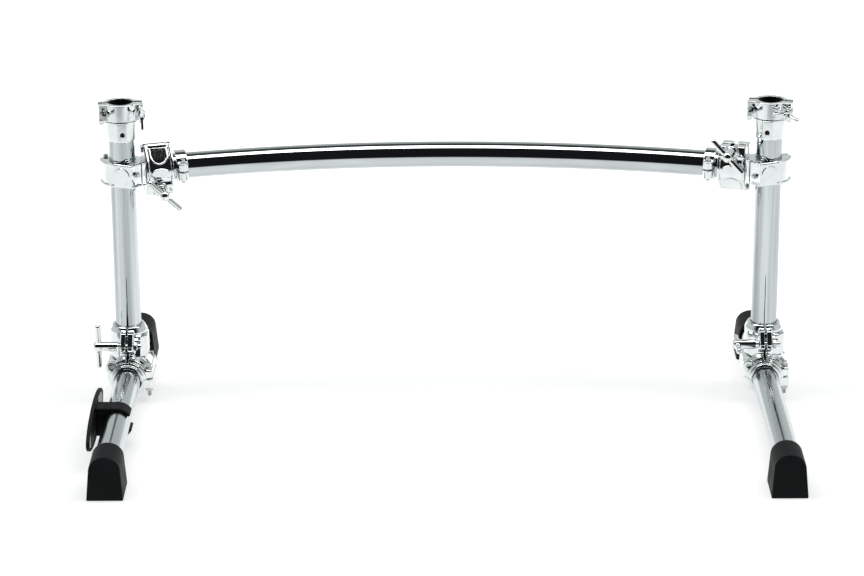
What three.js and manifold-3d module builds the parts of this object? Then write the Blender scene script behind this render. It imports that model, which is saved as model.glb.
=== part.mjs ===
// Drum rack frame: two upright posts on straight floor legs, joined by one
// curved crossbar held in hinged T-clamps. Millimetres, +Z up, X along the
// crossbar, -Y is the front. Origin: middle of the bounding box, on the floor.
import * as THREE from 'three';
import { mergeVertices } from 'three/addons/utils/BufferGeometryUtils.js';
import Module from 'manifold-3d';

const wasm = await Module();
wasm.setup();

// ---------------------------------------------------------------- dimensions
const TUBE_R = 19.05;          // 38.1 mm (1.5 in) tube
const TUBE_WALL = 1.6;
const BORE_R = 19.45;          // casting bore round a tube
const GAP = 0.35;              // clearance between neighbouring pieces

const POST_X = 474;            // post centre lines, left and right of centre
const POST_Z0 = 66, POST_Z1 = 427.5;
const BAR_Z = 351;             // crossbar centre height
const BAR_R = 1467.8;          // crossbar bend radius
const BAR_TX = 425;            // where the bend meets the straight ends
const BAR_END_S = 31.5;        // bar end, from the post axis along the bar

const LEG_Z = 38.2;            // leg tube centre height
const LEG_FRONT = -410, LEG_REAR = 200;   // over the feet
const FOOT_W = 51.5, FOOT_L = 67, FOOT_H = 61.6, FOOT_CAP = 12, FOOT_LEAN = 9;

const RING_HALF_H = 18;        // post ring of the T-clamp
const BLOCK_S0 = 30.5, BLOCK_S1 = 71.5;   // bar block, along the bar
const COLLAR_S = 85.5;           // memory collar centre, along the bar

const SOCKET_Z0 = 399.5, SOCKET_Z1 = 430.5, TOP_Z = 456;
const TOP_YAW = [9, 14];       // top clamps are turned towards the centre, left and right
const TOP_BORE_R = 15.75;
const TOP_BOLT_X = 25, TOP_BOLT_Z = 443, WING_X = 28.5;
const EAR_FRONT = 16, EAR_REAR = 9, EAR_Z0 = 426.8;   // depth of the clamp's ears from the post axis, and their lower edge

const BASE_TZ = 90, BASE_TY = -38;        // base T-bolt axis

// everything below is drawn with X = 0 midway between the posts and Y = 0 in
// their plane; this moves it so that the bounding box is centred
const ORIGIN_X = 6.5, ORIGIN_Y = 105;

const PHI = Math.asin(BAR_TX / BAR_R);    // slope of the bar's straight ends
const BEND_CY = (POST_X - BAR_TX) * Math.tan(PHI) - BAR_R * Math.cos(PHI); // bend centre, Y
const rad = (d) => d * Math.PI / 180;

// ----------------------------------------------------------------- materials
const chromeA = () => new THREE.MeshStandardMaterial({ color: 0xd9dddc, roughness: 0.08, metalness: 1, flatShading: true });
const chromeB = () => new THREE.MeshStandardMaterial({ color: 0xcdd2d1, roughness: 0.14, metalness: 1, flatShading: true });
const steel = () => new THREE.MeshStandardMaterial({ color: 0x9aa0a0, roughness: 0.3, metalness: 1, flatShading: true });
const rubber = () => new THREE.MeshStandardMaterial({ color: 0x23272a, roughness: 0.75, metalness: 0, flatShading: true });
const plastic = () => new THREE.MeshStandardMaterial({ color: 0x1b1e20, roughness: 0.45, metalness: 0, flatShading: true });

// ------------------------------------------------------------ solid helpers
function solid(geometry) {
  const g = geometry.clone();
  for (const k of Object.keys(g.attributes)) if (k !== 'position') g.deleteAttribute(k);
  const m = mergeVertices(g, 1e-4);
  return new wasm.Manifold(new wasm.Mesh({
    numProp: 3,
    vertProperties: new Float32Array(m.attributes.position.array),
    triVerts: new Uint32Array(m.index.array),
  }));
}

function geometryOf(manifold) {
  const m = manifold.getMesh();
  const g = new THREE.BufferGeometry();
  const p = new Float32Array(m.numVert * 3);
  for (let i = 0; i < m.numVert; i++) for (let k = 0; k < 3; k++) p[3 * i + k] = m.vertProperties[m.numProp * i + k];
  g.setAttribute('position', new THREE.BufferAttribute(p, 3));
  g.setIndex(new THREE.BufferAttribute(new Uint32Array(m.triVerts), 1));
  return g;
}

function piece(name, body, material) {
  const g = body.isBufferGeometry ? body : geometryOf(body);
  const mesh = new THREE.Mesh(g, material);
  mesh.name = name;
  return mesh;
}

const join = (...s) => s.flat().reduce((a, b) => a.add(b));
const cut = (a, ...s) => s.flat().reduce((x, b) => x.subtract(b), a);

// closed outline in (u, v), raised along w from w0 to w1; the basis says where
// u, v and w point
const BASES = {
  z: new THREE.Matrix4().makeBasis(new THREE.Vector3(1, 0, 0), new THREE.Vector3(0, 1, 0), new THREE.Vector3(0, 0, 1)),
  x: new THREE.Matrix4().makeBasis(new THREE.Vector3(0, 1, 0), new THREE.Vector3(0, 0, 1), new THREE.Vector3(1, 0, 0)),
  y: new THREE.Matrix4().makeBasis(new THREE.Vector3(0, 0, 1), new THREE.Vector3(1, 0, 0), new THREE.Vector3(0, 1, 0)),
};
function prism(axis, pts, w0, w1, holes = []) {
  const shape = new THREE.Shape(pts.map((p) => new THREE.Vector2(p[0], p[1])));
  for (const h of holes) shape.holes.push(new THREE.Path(h.map((p) => new THREE.Vector2(p[0], p[1]))));
  const g = new THREE.ExtrudeGeometry(shape, { depth: w1 - w0, bevelEnabled: false, steps: 1 });
  g.translate(0, 0, w0);
  g.applyMatrix4(BASES[axis]);
  return solid(g);
}

const arc = (cx, cy, r, a0, a1, n) => Array.from({ length: n + 1 }, (_, i) => {
  const a = rad(a0 + (a1 - a0) * i / n);
  return [cx + r * Math.cos(a), cy + r * Math.sin(a)];
});
const circle = (cx, cy, r, n) => arc(cx, cy, r, 180 / n, 360 + 180 / n, n).slice(0, n);

function rod(axis, cu, cv, r, w0, w1, n = 16) {
  // a round bar; (cu, cv) is its centre across the axis: z -> (x, y), x -> (y, z), y -> (z, x)
  return prism(axis, circle(cu, cv, r, n), w0, w1);
}
function box(x0, x1, y0, y1, z0, z1) {
  const g = new THREE.BoxGeometry(x1 - x0, y1 - y0, z1 - z0);
  g.translate((x0 + x1) / 2, (y0 + y1) / 2, (z0 + z1) / 2);
  return solid(g);
}
function turned(profile, n) {
  // solid of revolution about Z; profile is [r, z] pairs, closed on itself
  const area = profile.reduce((t, p, i) => { const q = profile[(i + 1) % profile.length]; return t + p[0] * q[1] - q[0] * p[1]; }, 0);
  const ordered = area > 0 ? profile : [...profile].reverse();
  const pts = [...ordered, ordered[0]].map((p) => new THREE.Vector2(p[0], p[1]));
  const g = new THREE.LatheGeometry(pts, n);
  g.rotateX(Math.PI / 2);
  return solid(g);
}
const moved = (s, x, y, z) => s.translate([x, y, z]);
const spunZ = (s, deg) => s.rotate([0, 0, deg]);

function tube(axis, cu, cv, ro, ri, w0, w1, n = 28, ni = 12) {
  return prism(axis, circle(cu, cv, ro, n), w0, w1, [circle(cu, cv, ri, ni)]);
}

// -------------------------------------------------------------- leg and feet
// Local frame: post axis at X = 0, Y = 0, floor at Z = 0.
function footOutline() {
  // arch section in (z, x): wide flat sole, sides leaning in to a round top
  const w = FOOT_W / 2, top = 22.4, spring = 41;
  const pts = [[0, -w], [0, w]];
  for (let i = 0; i <= 10; i++) {
    const a = rad(180 * i / 10);
    pts.push([spring + (FOOT_H - spring) * Math.sin(a), top * Math.cos(a)]);
  }
  return pts;
}
function foot(front) {
  const y0 = front ? LEG_FRONT : LEG_REAR - FOOT_L;
  const y1 = front ? LEG_FRONT + FOOT_L : LEG_REAR;
  const b0 = front ? LEG_FRONT + FOOT_CAP : y0 - 1;
  const b1 = front ? y1 + 1 : LEG_REAR - FOOT_CAP;
  // the closed end leans back towards its top
  const k = front ? 1 : -1, e = front ? LEG_FRONT : LEG_REAR, t = 70 / FOOT_H;
  const wedge = [[e, 0], [e + k * FOOT_LEAN * t, 70], [e - k * 2, 70], [e - k * 2, 0]];
  const body = cut(prism('y', footOutline(), y0, y1), prism('x', wedge, -40, 40));
  return cut(body, rod('y', LEG_Z, 0, BORE_R, b0, b1, 24));
}
function legTube() {
  return tube('y', LEG_Z, 0, TUBE_R, TUBE_R - TUBE_WALL, LEG_FRONT + FOOT_CAP + GAP, LEG_REAR - FOOT_CAP - GAP);
}

// ---------------------------------------------------------------------- base
const HINGE_X = -24, HINGE_Z = 55.5, HINGE_R = 9;     // keeper hinge, along Y
const KEEPER_BOLT_X = 30.5, KEEPER_BOLT_Y = [-29, 22];
const SPLIT_Z = LEG_Z + 0.4;

function baseCasting() {
  const barrel = (r, y0, y1, n = 20) => rod('y', LEG_Z, 0, r, y0, y1, n);
  let s = join(
    turned([[0, 50], [28, 50], [28, 105.5], [23.6, 114], [0, 114]], 20),
    barrel(31, -38, 38), barrel(27.5, -44, 0), barrel(24, -50, 0),
    rod('y', HINGE_Z, HINGE_X, HINGE_R, -40, -28, 14),
    rod('y', HINGE_Z, HINGE_X, HINGE_R, 20, 38, 14),
    box(20, 37, -38, 31, SPLIT_Z, 52),
    // shoulder from the collar down to the bolt ear, and the pad behind the nut
    prism('y', [[100, 12], [88, 27], [64, 27.5], [52, 36.5], [44, 36.5], [44, 12]], -21, 14),
    prism('z', [[3, -28], [20, -28], [29.5, -18], [29.5, 6], [22, 14], [3, 14]], 68, 102),
    // the two lugs that the T-bolt draws together
    prism('x', [...arc(BASE_TY, BASE_TZ, 9, 150, 270, 5), [-20, 72], [-20, 110], [-34, 108]], -9, 9.5),
  );
  // everything under the split belongs to the keeper
  s = cut(s, box(-60, 60, -60, 60, -10, SPLIT_Z));
  s = cut(s,
    barrel(BORE_R, -60, 60),
    rod('z', 0, 0, BORE_R, POST_Z0 - GAP, 120, 20),
    box(-1.5, 1.5, -60, 0, POST_Z0 - GAP, 120),
    rod('x', BASE_TY, BASE_TZ, 4.2, -30, 30, 10),
    // room for the keeper's own knuckle and its web
    rod('y', HINGE_Z, HINGE_X, HINGE_R + 0.8, -28, 20, 14),
    box(-45, -19.9, -28, 20, 30, HINGE_Z),
    rod('y', HINGE_Z, HINGE_X, 3.1, -46, 60, 10),
    ...KEEPER_BOLT_Y.flatMap((y) => [rod('z', KEEPER_BOLT_X, y, 3.5, 0, 60, 8), rod('z', KEEPER_BOLT_X, y, 6.4, 52, 66, 12)]));
  return s;
}
function baseKeeper() {
  const half = box(-60, 60, -60, 60, -10, SPLIT_Z - 1.2);
  let s = join(
    rod('y', LEG_Z, 0, 29, -36, 36, 24), rod('y', LEG_Z, 0, 25.5, -42, 0, 24),
    box(18, 37, -38, 31, 22, SPLIT_Z)).intersect(half);
  s = join(s, rod('y', HINGE_Z, HINGE_X, HINGE_R, -27.5, 19.5, 14),
    box(HINGE_X - 7, -20.8, -27.5, 19.5, 34, HINGE_Z - 2));
  // the bore is relieved on the bolt side, so that the keeper swings clear of the leg
  s = cut(s, rod('y', LEG_Z, 0, BORE_R, -60, 60, 24), rod('y', LEG_Z, 1.6, BORE_R, -60, 60, 24), rod('y', HINGE_Z, HINGE_X, 3.1, -46, 60, 10),
    // open-ended slots, so that the lug swings clear of its bolts
    ...KEEPER_BOLT_Y.map((y) => box(KEEPER_BOLT_X - 4, 60, y - 3.6, y + 3.6, 0, 60)));
  return s;
}
const baseHingePin = () => join(rod('y', HINGE_Z, HINGE_X, 2.6, -37.5, 39, 10), rod('y', HINGE_Z, HINGE_X, 3.9, 38.4, 40.6, 10));
function baseKeyBolt(y) {
  // square-headed bolt, washer face on the ear, tip out under the keeper's lug
  return join(rod('z', KEEPER_BOLT_X, y, 2.9, 9, 53, 8), rod('z', KEEPER_BOLT_X, y, 5.2, 52 + GAP, 54.5, 10),
    box(KEEPER_BOLT_X - 2.9, KEEPER_BOLT_X + 2.9, y - 2.9, y + 2.9, 54, 60));
}
function baseNutPlate() {
  // both key bolts screw into one nut plate under the lug; it runs down them as the keeper opens
  const [y0, y1] = KEEPER_BOLT_Y, x = KEEPER_BOLT_X;
  return cut(prism('z', [[x - 5, y0 - 3.5], [x - 3.5, y0 - 5], [x + 3.5, y0 - 5], [x + 5, y0 - 3.5], [x + 5, y1 + 3.5], [x + 3.5, y1 + 5], [x - 3.5, y1 + 5], [x - 5, y1 + 3.5]], 17, 22 - GAP),
    rod('z', x, y0, 3.2, 0, 40, 12), rod('z', x, y1, 3.2, 0, 40, 12));
}
function tBolt(len, threadR, reach) {
  // axis along +X: barrel from 0 to len (crossbar hole near its outer end), then thread
  const s = turned([[0, 0], [6, 0], [7.4, 2], [7.4, len - 3], [5.2, len], [5.2, len + 1.5], [threadR, len + 1.5], [threadR, len + reach], [0, len + reach]], 12);
  return cut(s.rotate([0, 90, 0]), rod('z', 7.8, 0, 4.6, -20, 20, 8));
}
const T_BAR_R = 4.15, T_BAR_HALF = 34;
function tBar() {
  // crossbar along Z with rounded ends, in the T-bolt's own frame
  return turned([[0, -T_BAR_HALF], [2.6, -T_BAR_HALF], [T_BAR_R, -T_BAR_HALF + 2.2], [T_BAR_R, T_BAR_HALF - 2.2], [2.6, T_BAR_HALF], [0, T_BAR_HALF]], 8);
}
function hexNut(x0, x1, r, hole) {
  return prism('x', circle(0, 0, r, 6), x0, x1, [circle(0, 0, hole, 12)]);
}

// ------------------------------------------------------------- top of a post
function topCasting() {
  // tapered socket over the post's end, with the fixed rear half of the clamp
  let s = turned([[16.2, 428.2], [16.2, SOCKET_Z1], [24.6, SOCKET_Z1], [24.5, 424.5], [21.7, 403], [20.8, SOCKET_Z0], [15, SOCKET_Z0], [15, 428.2]], 24);
  s = join(s,
    prism('z', [[-8.4, -19], [8.4, -19], [8.4, -25.2], [6.8, -26.6], [-6.8, -26.6], [-8.4, -25.2]].reverse(), 402.5, SOCKET_Z1 - 0.5),
    prism('z', topOutline(1, 1.5, EAR_REAR), SOCKET_Z1 - 1, TOP_Z),
    box(-32.5, -23, 1.5, EAR_REAR, EAR_Z0, SOCKET_Z1 + 1), box(23, 32.5, 1.5, EAR_REAR, EAR_Z0, SOCKET_Z1 + 1));
  return cut(s,
    rod('z', 0, 0, BORE_R, 380, 428, 24), rod('z', 0, 0, TOP_BORE_R, 420, 470, 24),
    // the front half's room
    box(-40, 40, -40, 1.5, SOCKET_Z1, 470),
    rod('y', 413, 0, 3.3, -40, 0, 10),
    rod('y', TOP_BOLT_Z, -TOP_BOLT_X, 3.4, -5, 40, 8), wingSlot());
}
const wingSlot = () => box(WING_X - 3.4, 60, -60, 60, TOP_BOLT_Z - 3.4, TOP_BOLT_Z + 3.4);
function topOutline(side, y0, ear) {
  // half of the clamp seen from above: flat ears and a round middle
  const a = Math.asin(ear / 25) * 180 / Math.PI;
  const pts = [[-32.5, y0], [32.5, y0], [32.5, ear], ...arc(0, 0, 25, a, 180 - a, 10), [-32.5, ear]];
  const out = pts.map(([x, y]) => [x, side * y]);
  return side > 0 ? out : out.reverse();
}
function topGate() {
  return cut(join(prism('z', topOutline(-1, 1.5, EAR_FRONT), SOCKET_Z1 + 0.5, TOP_Z),
    box(-32.5, -25.2, -EAR_FRONT, -1.5, EAR_Z0, SOCKET_Z1 + 1), box(25.2, 32.5, -EAR_FRONT, -1.5, EAR_Z0, SOCKET_Z1 + 1)),
    rod('z', 0, 0, TOP_BORE_R, 420, 470, 24),
    rod('y', TOP_BOLT_Z, -TOP_BOLT_X, 3.4, -40, 0, 8), wingSlot());
}
function topKeyBolt() {
  return join(rod('y', TOP_BOLT_Z, -TOP_BOLT_X, 2.9, -34, 13, 8), rod('y', TOP_BOLT_Z, -TOP_BOLT_X, 5.6, -19, -EAR_FRONT - GAP, 12),
    box(-TOP_BOLT_X - 2.9, -TOP_BOLT_X + 2.9, -38.5, -32.5, TOP_BOLT_Z - 2.9, TOP_BOLT_Z + 2.9));
}
function topKeyScrew() {
  return join(rod('y', 413, 0, 2.9, -23.5, -19.4, 10), box(-1.7, 1.7, -26, -23, 411.3, 414.7));
}
function wingScrew(turn) {
  const hub = join(rod('y', 0, 0, 5.6, -39, -27.5, 12), rod('y', 0, 0, 6.4, -18.6, -EAR_FRONT - GAP, 12), rod('y', 0, 0, 2.9, -30, 13, 8));
  const wing = (k) => {
    const pts = [[2, -38.5], [3, -30], [9.5, -32.5], [17.4, -36.4], [20.4, -40.4], [19.8, -43.8], [16, -45], [8.5, -41.6]].map(([x, y]) => [k * x, y]);
    return prism('z', k > 0 ? pts : pts.reverse(), -2.1, 2.1);
  };
  return moved(join(hub, wing(1), wing(-1)).rotate([0, turn, 0]), WING_X, 0, TOP_BOLT_Z);
}

// ---------------------------------------------------------- crossbar T-clamp
// Local frame: post axis at X = 0, Y = 0, bar axis at Z = 0, +X inwards.
const RING_HX = -25.5, RING_HY = 13, RING_HR = 5;     // ring gate hinge, along Z
const RIDGE = [16, -36];                               // front ridge of the gate
const FU = [0.690, 0.724], FN = [0.724, -0.690];       // along and out of the lug face
const onFace = (u, n) => [RIDGE[0] + FU[0] * u + FN[0] * n, RIDGE[1] + FU[1] * u + FN[1] * n];

// an arc whose radius eases from r0 to r1
const swell = (r0, r1, a0, a1, n) => Array.from({ length: n + 1 }, (_, i) => {
  const t = i / n, a = rad(a0 + (a1 - a0) * t), r = r0 + (r1 - r0) * t * t * (3 - 2 * t);
  return [r * Math.cos(a), r * Math.sin(a)];
});
function ringGate() {
  // the gate is thicker beside its hinge, and more so along its two rims
  const out = [
    ...swell(31, 27, 158, 246, 10), RIDGE, onFace(19.5, 0), onFace(19.5, -7.6), onFace(4.2, -7.6), onFace(4.2, -17),
    ...arc(0, 0, 18.8, 285, 158, 4),
  ];
  const rim = [...swell(34, 27.9, 163, 246, 9), ...arc(0, 0, 23, 246, 163, 5)];
  const s = join(prism('z', out, -RING_HALF_H, RING_HALF_H),
    prism('z', rim, RING_HALF_H - 4, RING_HALF_H), prism('z', rim, -RING_HALF_H, 4 - RING_HALF_H),
    prism('z', circle(RING_HX, RING_HY, RING_HR, 12), -RING_HALF_H, RING_HALF_H));
  return cut(s, rod('z', 0, 0, BORE_R, -30, 30, 28),
    // the body's middle knuckle
    rod('z', RING_HX, RING_HY, RING_HR + 0.9, -8.2, 8.2, 14),
    rod('z', RING_HX, RING_HY, 2.5, -30, 30, 8),
    ringBoltHole(3.4, -30, 6));
}
function ringBoltHole(r, n0, n1) {
  // round hole along the lug face's normal, at u = 6.5 from the ridge
  const p = onFace(9.5, 0);
  return rod('x', 0, 0, r, n0, n1, 8).rotate([0, 0, Math.atan2(FN[1], FN[0]) * 180 / Math.PI]).translate([p[0], p[1], 3]);
}
function ringKeyBolt() {
  const p = onFace(9.5, 0);
  const s = join(rod('x', 0, 0, 2.9, -15.2, 1, 8), rod('x', 0, 0, 4.6, GAP, 2.2, 12), box(2, 6.2, -2.6, 2.6, -2.6, 2.6));
  return s.rotate([0, 0, Math.atan2(FN[1], FN[0]) * 180 / Math.PI]).translate([p[0], p[1], 3]);
}
function clampBody() {
  // post ring, rear part, from the lug round the back to the hinge
  const lug = [onFace(5.4, -8.6), onFace(21.2, -8.6), onFace(21.2, 0), onFace(29.5, 0), [40, -8], [40, 10], [27, 14],
    ...arc(0, 0, 27, 40, 128, 7), ...arc(0, 0, 18.8, 146, -71, 6)];
  let ring = join(prism('z', lug, -RING_HALF_H, RING_HALF_H),
    prism('z', circle(RING_HX, RING_HY, RING_HR, 12), -7.4, 7.4),
    prism('z', [[-24, 17.6], [-21.5, 11.5], [-16, 11.6], [-14, 13.4], [-14, 23.2]], -7.4, 7.4));
  ring = cut(ring,
    rod('z', RING_HX, RING_HY, RING_HR + 0.9, 7.4, 30, 14), rod('z', RING_HX, RING_HY, RING_HR + 0.9, -30, -7.4, 14),
    rod('z', RING_HX, RING_HY, 2.5, -30, 30, 8),
    slotForRingBolt(),
    // the bar gate's side
    spunZ(box(BLOCK_S0 - 0.5, 80, -60, 0.4, -60, 60), PHI * 180 / Math.PI));
  // bar block: fixed rear half of the bar saddle, in the bar's own direction
  let block = join(
    prism('x', [[0.4, -34], [15, -34], [15, -24], ...arc(0, 0, 27, -52, 40, 8), [14, 32], [6, 35], [0.4, 35]], BLOCK_S0, BLOCK_S1),
    box(20, BLOCK_S0 + 2, 4, 20, -14, 14));
  block = cut(block,
    rod('x', BAR_HT, BAR_HZ, BAR_HR + 0.9, BLOCK_S0 - 1, BLOCK_S0 + KNUCKLE + 0.5, 16), rod('x', BAR_HT, BAR_HZ, BAR_HR + 0.9, BLOCK_S1 - KNUCKLE - 0.5, BLOCK_S1 + 1, 16),
    rod('y', BAR_TZ, BAR_TS, 5.8, -5, 60, 12));
  block = join(block, rod('x', BAR_HT, BAR_HZ, BAR_HR, BLOCK_S0 + KNUCKLE + 0.8, BLOCK_S1 - KNUCKLE - 0.8, 14));
  block = cut(block, rod('x', BAR_HT, BAR_HZ, 2.5, BLOCK_S0 - 5, 100, 8));
  const s = join(ring, spunZ(block, PHI * 180 / Math.PI));
  return cut(s, rod('z', 0, 0, BORE_R, -60, 60, 28), spunZ(rod('x', 0, 0, BORE_R, BAR_END_S - 1, 100, 28), PHI * 180 / Math.PI));
}
function slotForRingBolt() {
  const p = onFace(9.5, 0);
  return box(-30, 6, -30, 3.6, -3.7, 3.7).rotate([0, 0, Math.atan2(FN[1], FN[0]) * 180 / Math.PI]).translate([p[0], p[1], 3]);
}
const ringPin = () => join(rod('z', RING_HX, RING_HY, 2.1, -17.5, 19.5, 8), rod('z', RING_HX, RING_HY, 3.8, RING_HALF_H + GAP, 21.8, 12));

const BAR_HT = 2, BAR_HZ = 30.5, BAR_HR = 7.4, KNUCKLE = 6.2;   // bar gate hinge, along the bar
const BAR_TS = 51, BAR_TZ = -28;           // T-bolt of the bar gate
function barGate() {
  // front half of the bar saddle with raised end rims
  const out = [[-0.4, 18], [-0.4, 34], [-3.3, 35.7], ...arc(0, 0, 27, 136.4, 215, 8), [-24, -20], [-22, -35], [-9, -35], [-0.4, -31], [-0.4, -18]];
  const rim = [[-0.4, 22], [-0.4, 35.5], [-4.4, 36.8], ...arc(0, 0, 28.6, 136.4, 212, 8), [-22.5, -20], [-20, -22]];
  const s = join(prism('x', out, BLOCK_S0, BLOCK_S1),
    prism('x', rim, BLOCK_S0, BLOCK_S0 + 3), prism('x', rim, BLOCK_S1 - 3, BLOCK_S1),
    ...[[BLOCK_S0, BLOCK_S0 + KNUCKLE], [BLOCK_S1 - KNUCKLE, BLOCK_S1]].flatMap(([a, b]) => [rod('x', BAR_HT, BAR_HZ, BAR_HR, a, b, 14), box(a, b, -7, -0.4, 22, 33)]));
  return cut(s, rod('x', 0, 0, BORE_R, 0, 100, 28),
    rod('x', BAR_HT, BAR_HZ, BAR_HR + 0.9, BLOCK_S0 + KNUCKLE + 0.4, BLOCK_S1 - KNUCKLE - 0.4, 16),
    rod('x', BAR_HT, BAR_HZ, 2.5, 0, 100, 8),
    rod('y', BAR_TZ, BAR_TS, 4.4, -60, 10, 10));
}
const barPin = () => join(rod('x', BAR_HT, BAR_HZ, 2.1, BLOCK_S0 - 0.8, BLOCK_S1 + 0.8, 8), rod('x', BAR_HT, BAR_HZ, 3.8, BLOCK_S1 + GAP, BLOCK_S1 + 2.4, 12), rod('x', BAR_HT, BAR_HZ, 5.6, BLOCK_S0 - 3, BLOCK_S0 - GAP, 12));

// ------------------------------------------------------------- memory collar
// Local frame: bar axis along X, origin at the collar's centre, front is -Y.
function memoryCollar() {
  const s = join(rod('x', 0, 0, 24, -8.5, 8.5, 20), rod('z', 0, -28, 7.8, -14, 12, 14), box(-7, 7, -28, -18, -12, 11));
  return cut(s, rod('x', 0, 0, BORE_R, -20, 20, 20), box(-20, 20, -60, 0, -1, 1), rod('z', 0, -28, 3.4, -30, 30, 8));
}
function memoryKeyBolt() {
  return join(rod('z', 0, -28, 2.9, -17.5, 13, 8), rod('z', 0, -28, 5, 12 + GAP, 14, 12), box(-2.7, 2.7, -30.7, -25.3, 13.5, 18.5));
}

// ---------------------------------------------------------------- bar, badge
class BarAxis extends THREE.Curve {
  // straight ends that point at the post axes, tangent to one long bend
  getPoint(t, target = new THREE.Vector3()) {
    const straight = (POST_X - BAR_TX) / Math.cos(PHI) - BAR_END_S;
    const bend = BAR_R * PHI, half = straight + bend;
    const s = (t - 0.5) * 2 * half, k = Math.sign(s) || 1, a = Math.abs(s);
    if (a <= bend) return target.set(BAR_R * Math.sin(s / BAR_R), BEND_CY + BAR_R * Math.cos(s / BAR_R), 0);
    const d = a - bend;
    return target.set(k * (BAR_TX + d * Math.cos(PHI)), (POST_X - BAR_TX) * Math.tan(PHI) - d * Math.sin(PHI), 0);
  }
}
function curvedBar() {
  const shape = new THREE.Shape(circle(0, 0, TUBE_R, 20).map((p) => new THREE.Vector2(...p)));
  shape.holes.push(new THREE.Path(circle(0, 0, TUBE_R - TUBE_WALL, 8).map((p) => new THREE.Vector2(...p))));
  return solid(new THREE.ExtrudeGeometry(shape, { steps: 17, bevelEnabled: false, extrudePath: new BarAxis() }));
}

const PLATE_Y = -203, PLATE_Z = 40, PLATE_X = -33, PLATE_YAW = 0.3, PLATE_LY = 105, PLATE_LZ = 26;
const CLIP_Y0 = -217, CLIP_Y1 = -189, CLIP_TOP = 61.5;
const onPlate = (s) => s.rotate([0, 0, PLATE_YAW]).translate([PLATE_X, PLATE_Y, PLATE_Z]);
function badgePlate() {
  // blank oval dish, recessed on both faces
  const oval = (ry, rz, n) => Array.from({ length: n }, (_, i) => [ry * Math.cos(2 * Math.PI * i / n), rz * Math.sin(2 * Math.PI * i / n)]);
  return onPlate(cut(prism('x', oval(PLATE_LY, PLATE_LZ, 24), -2.6, 2.6),
    prism('x', oval(PLATE_LY - 6, PLATE_LZ - 6, 20), -5, -1.2), prism('x', oval(PLATE_LY - 6, PLATE_LZ - 6, 20), 1.2, 5)));
}
function badgeClip() {
  // snap clip round the tube, open at the lower inner side, with a block that holds the plate
  const ring = (a0, a1, n) => prism('y', [...arc(LEG_Z, 0, 23.4, a0, a1, n), ...arc(LEG_Z, 0, BORE_R + 0.2, a1, a0, n)].reverse(), CLIP_Y0, CLIP_Y1);
  // angles in (z, x): 0 is up, 90 is inwards, -90 is outwards
  const s = join(ring(-246, 58, 14), box(-29.9, -14, CLIP_Y0, CLIP_Y1, 19, CLIP_TOP), box(-29.9, 1, CLIP_Y0, CLIP_Y1, 55, CLIP_TOP));
  return cut(s, rod('y', LEG_Z, 0, BORE_R, -300, -100, 20));
}

// ------------------------------------------------------------------ assembly
function onPost(side, object) {
  object.position.x += side * POST_X;
  return object;
}

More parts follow.
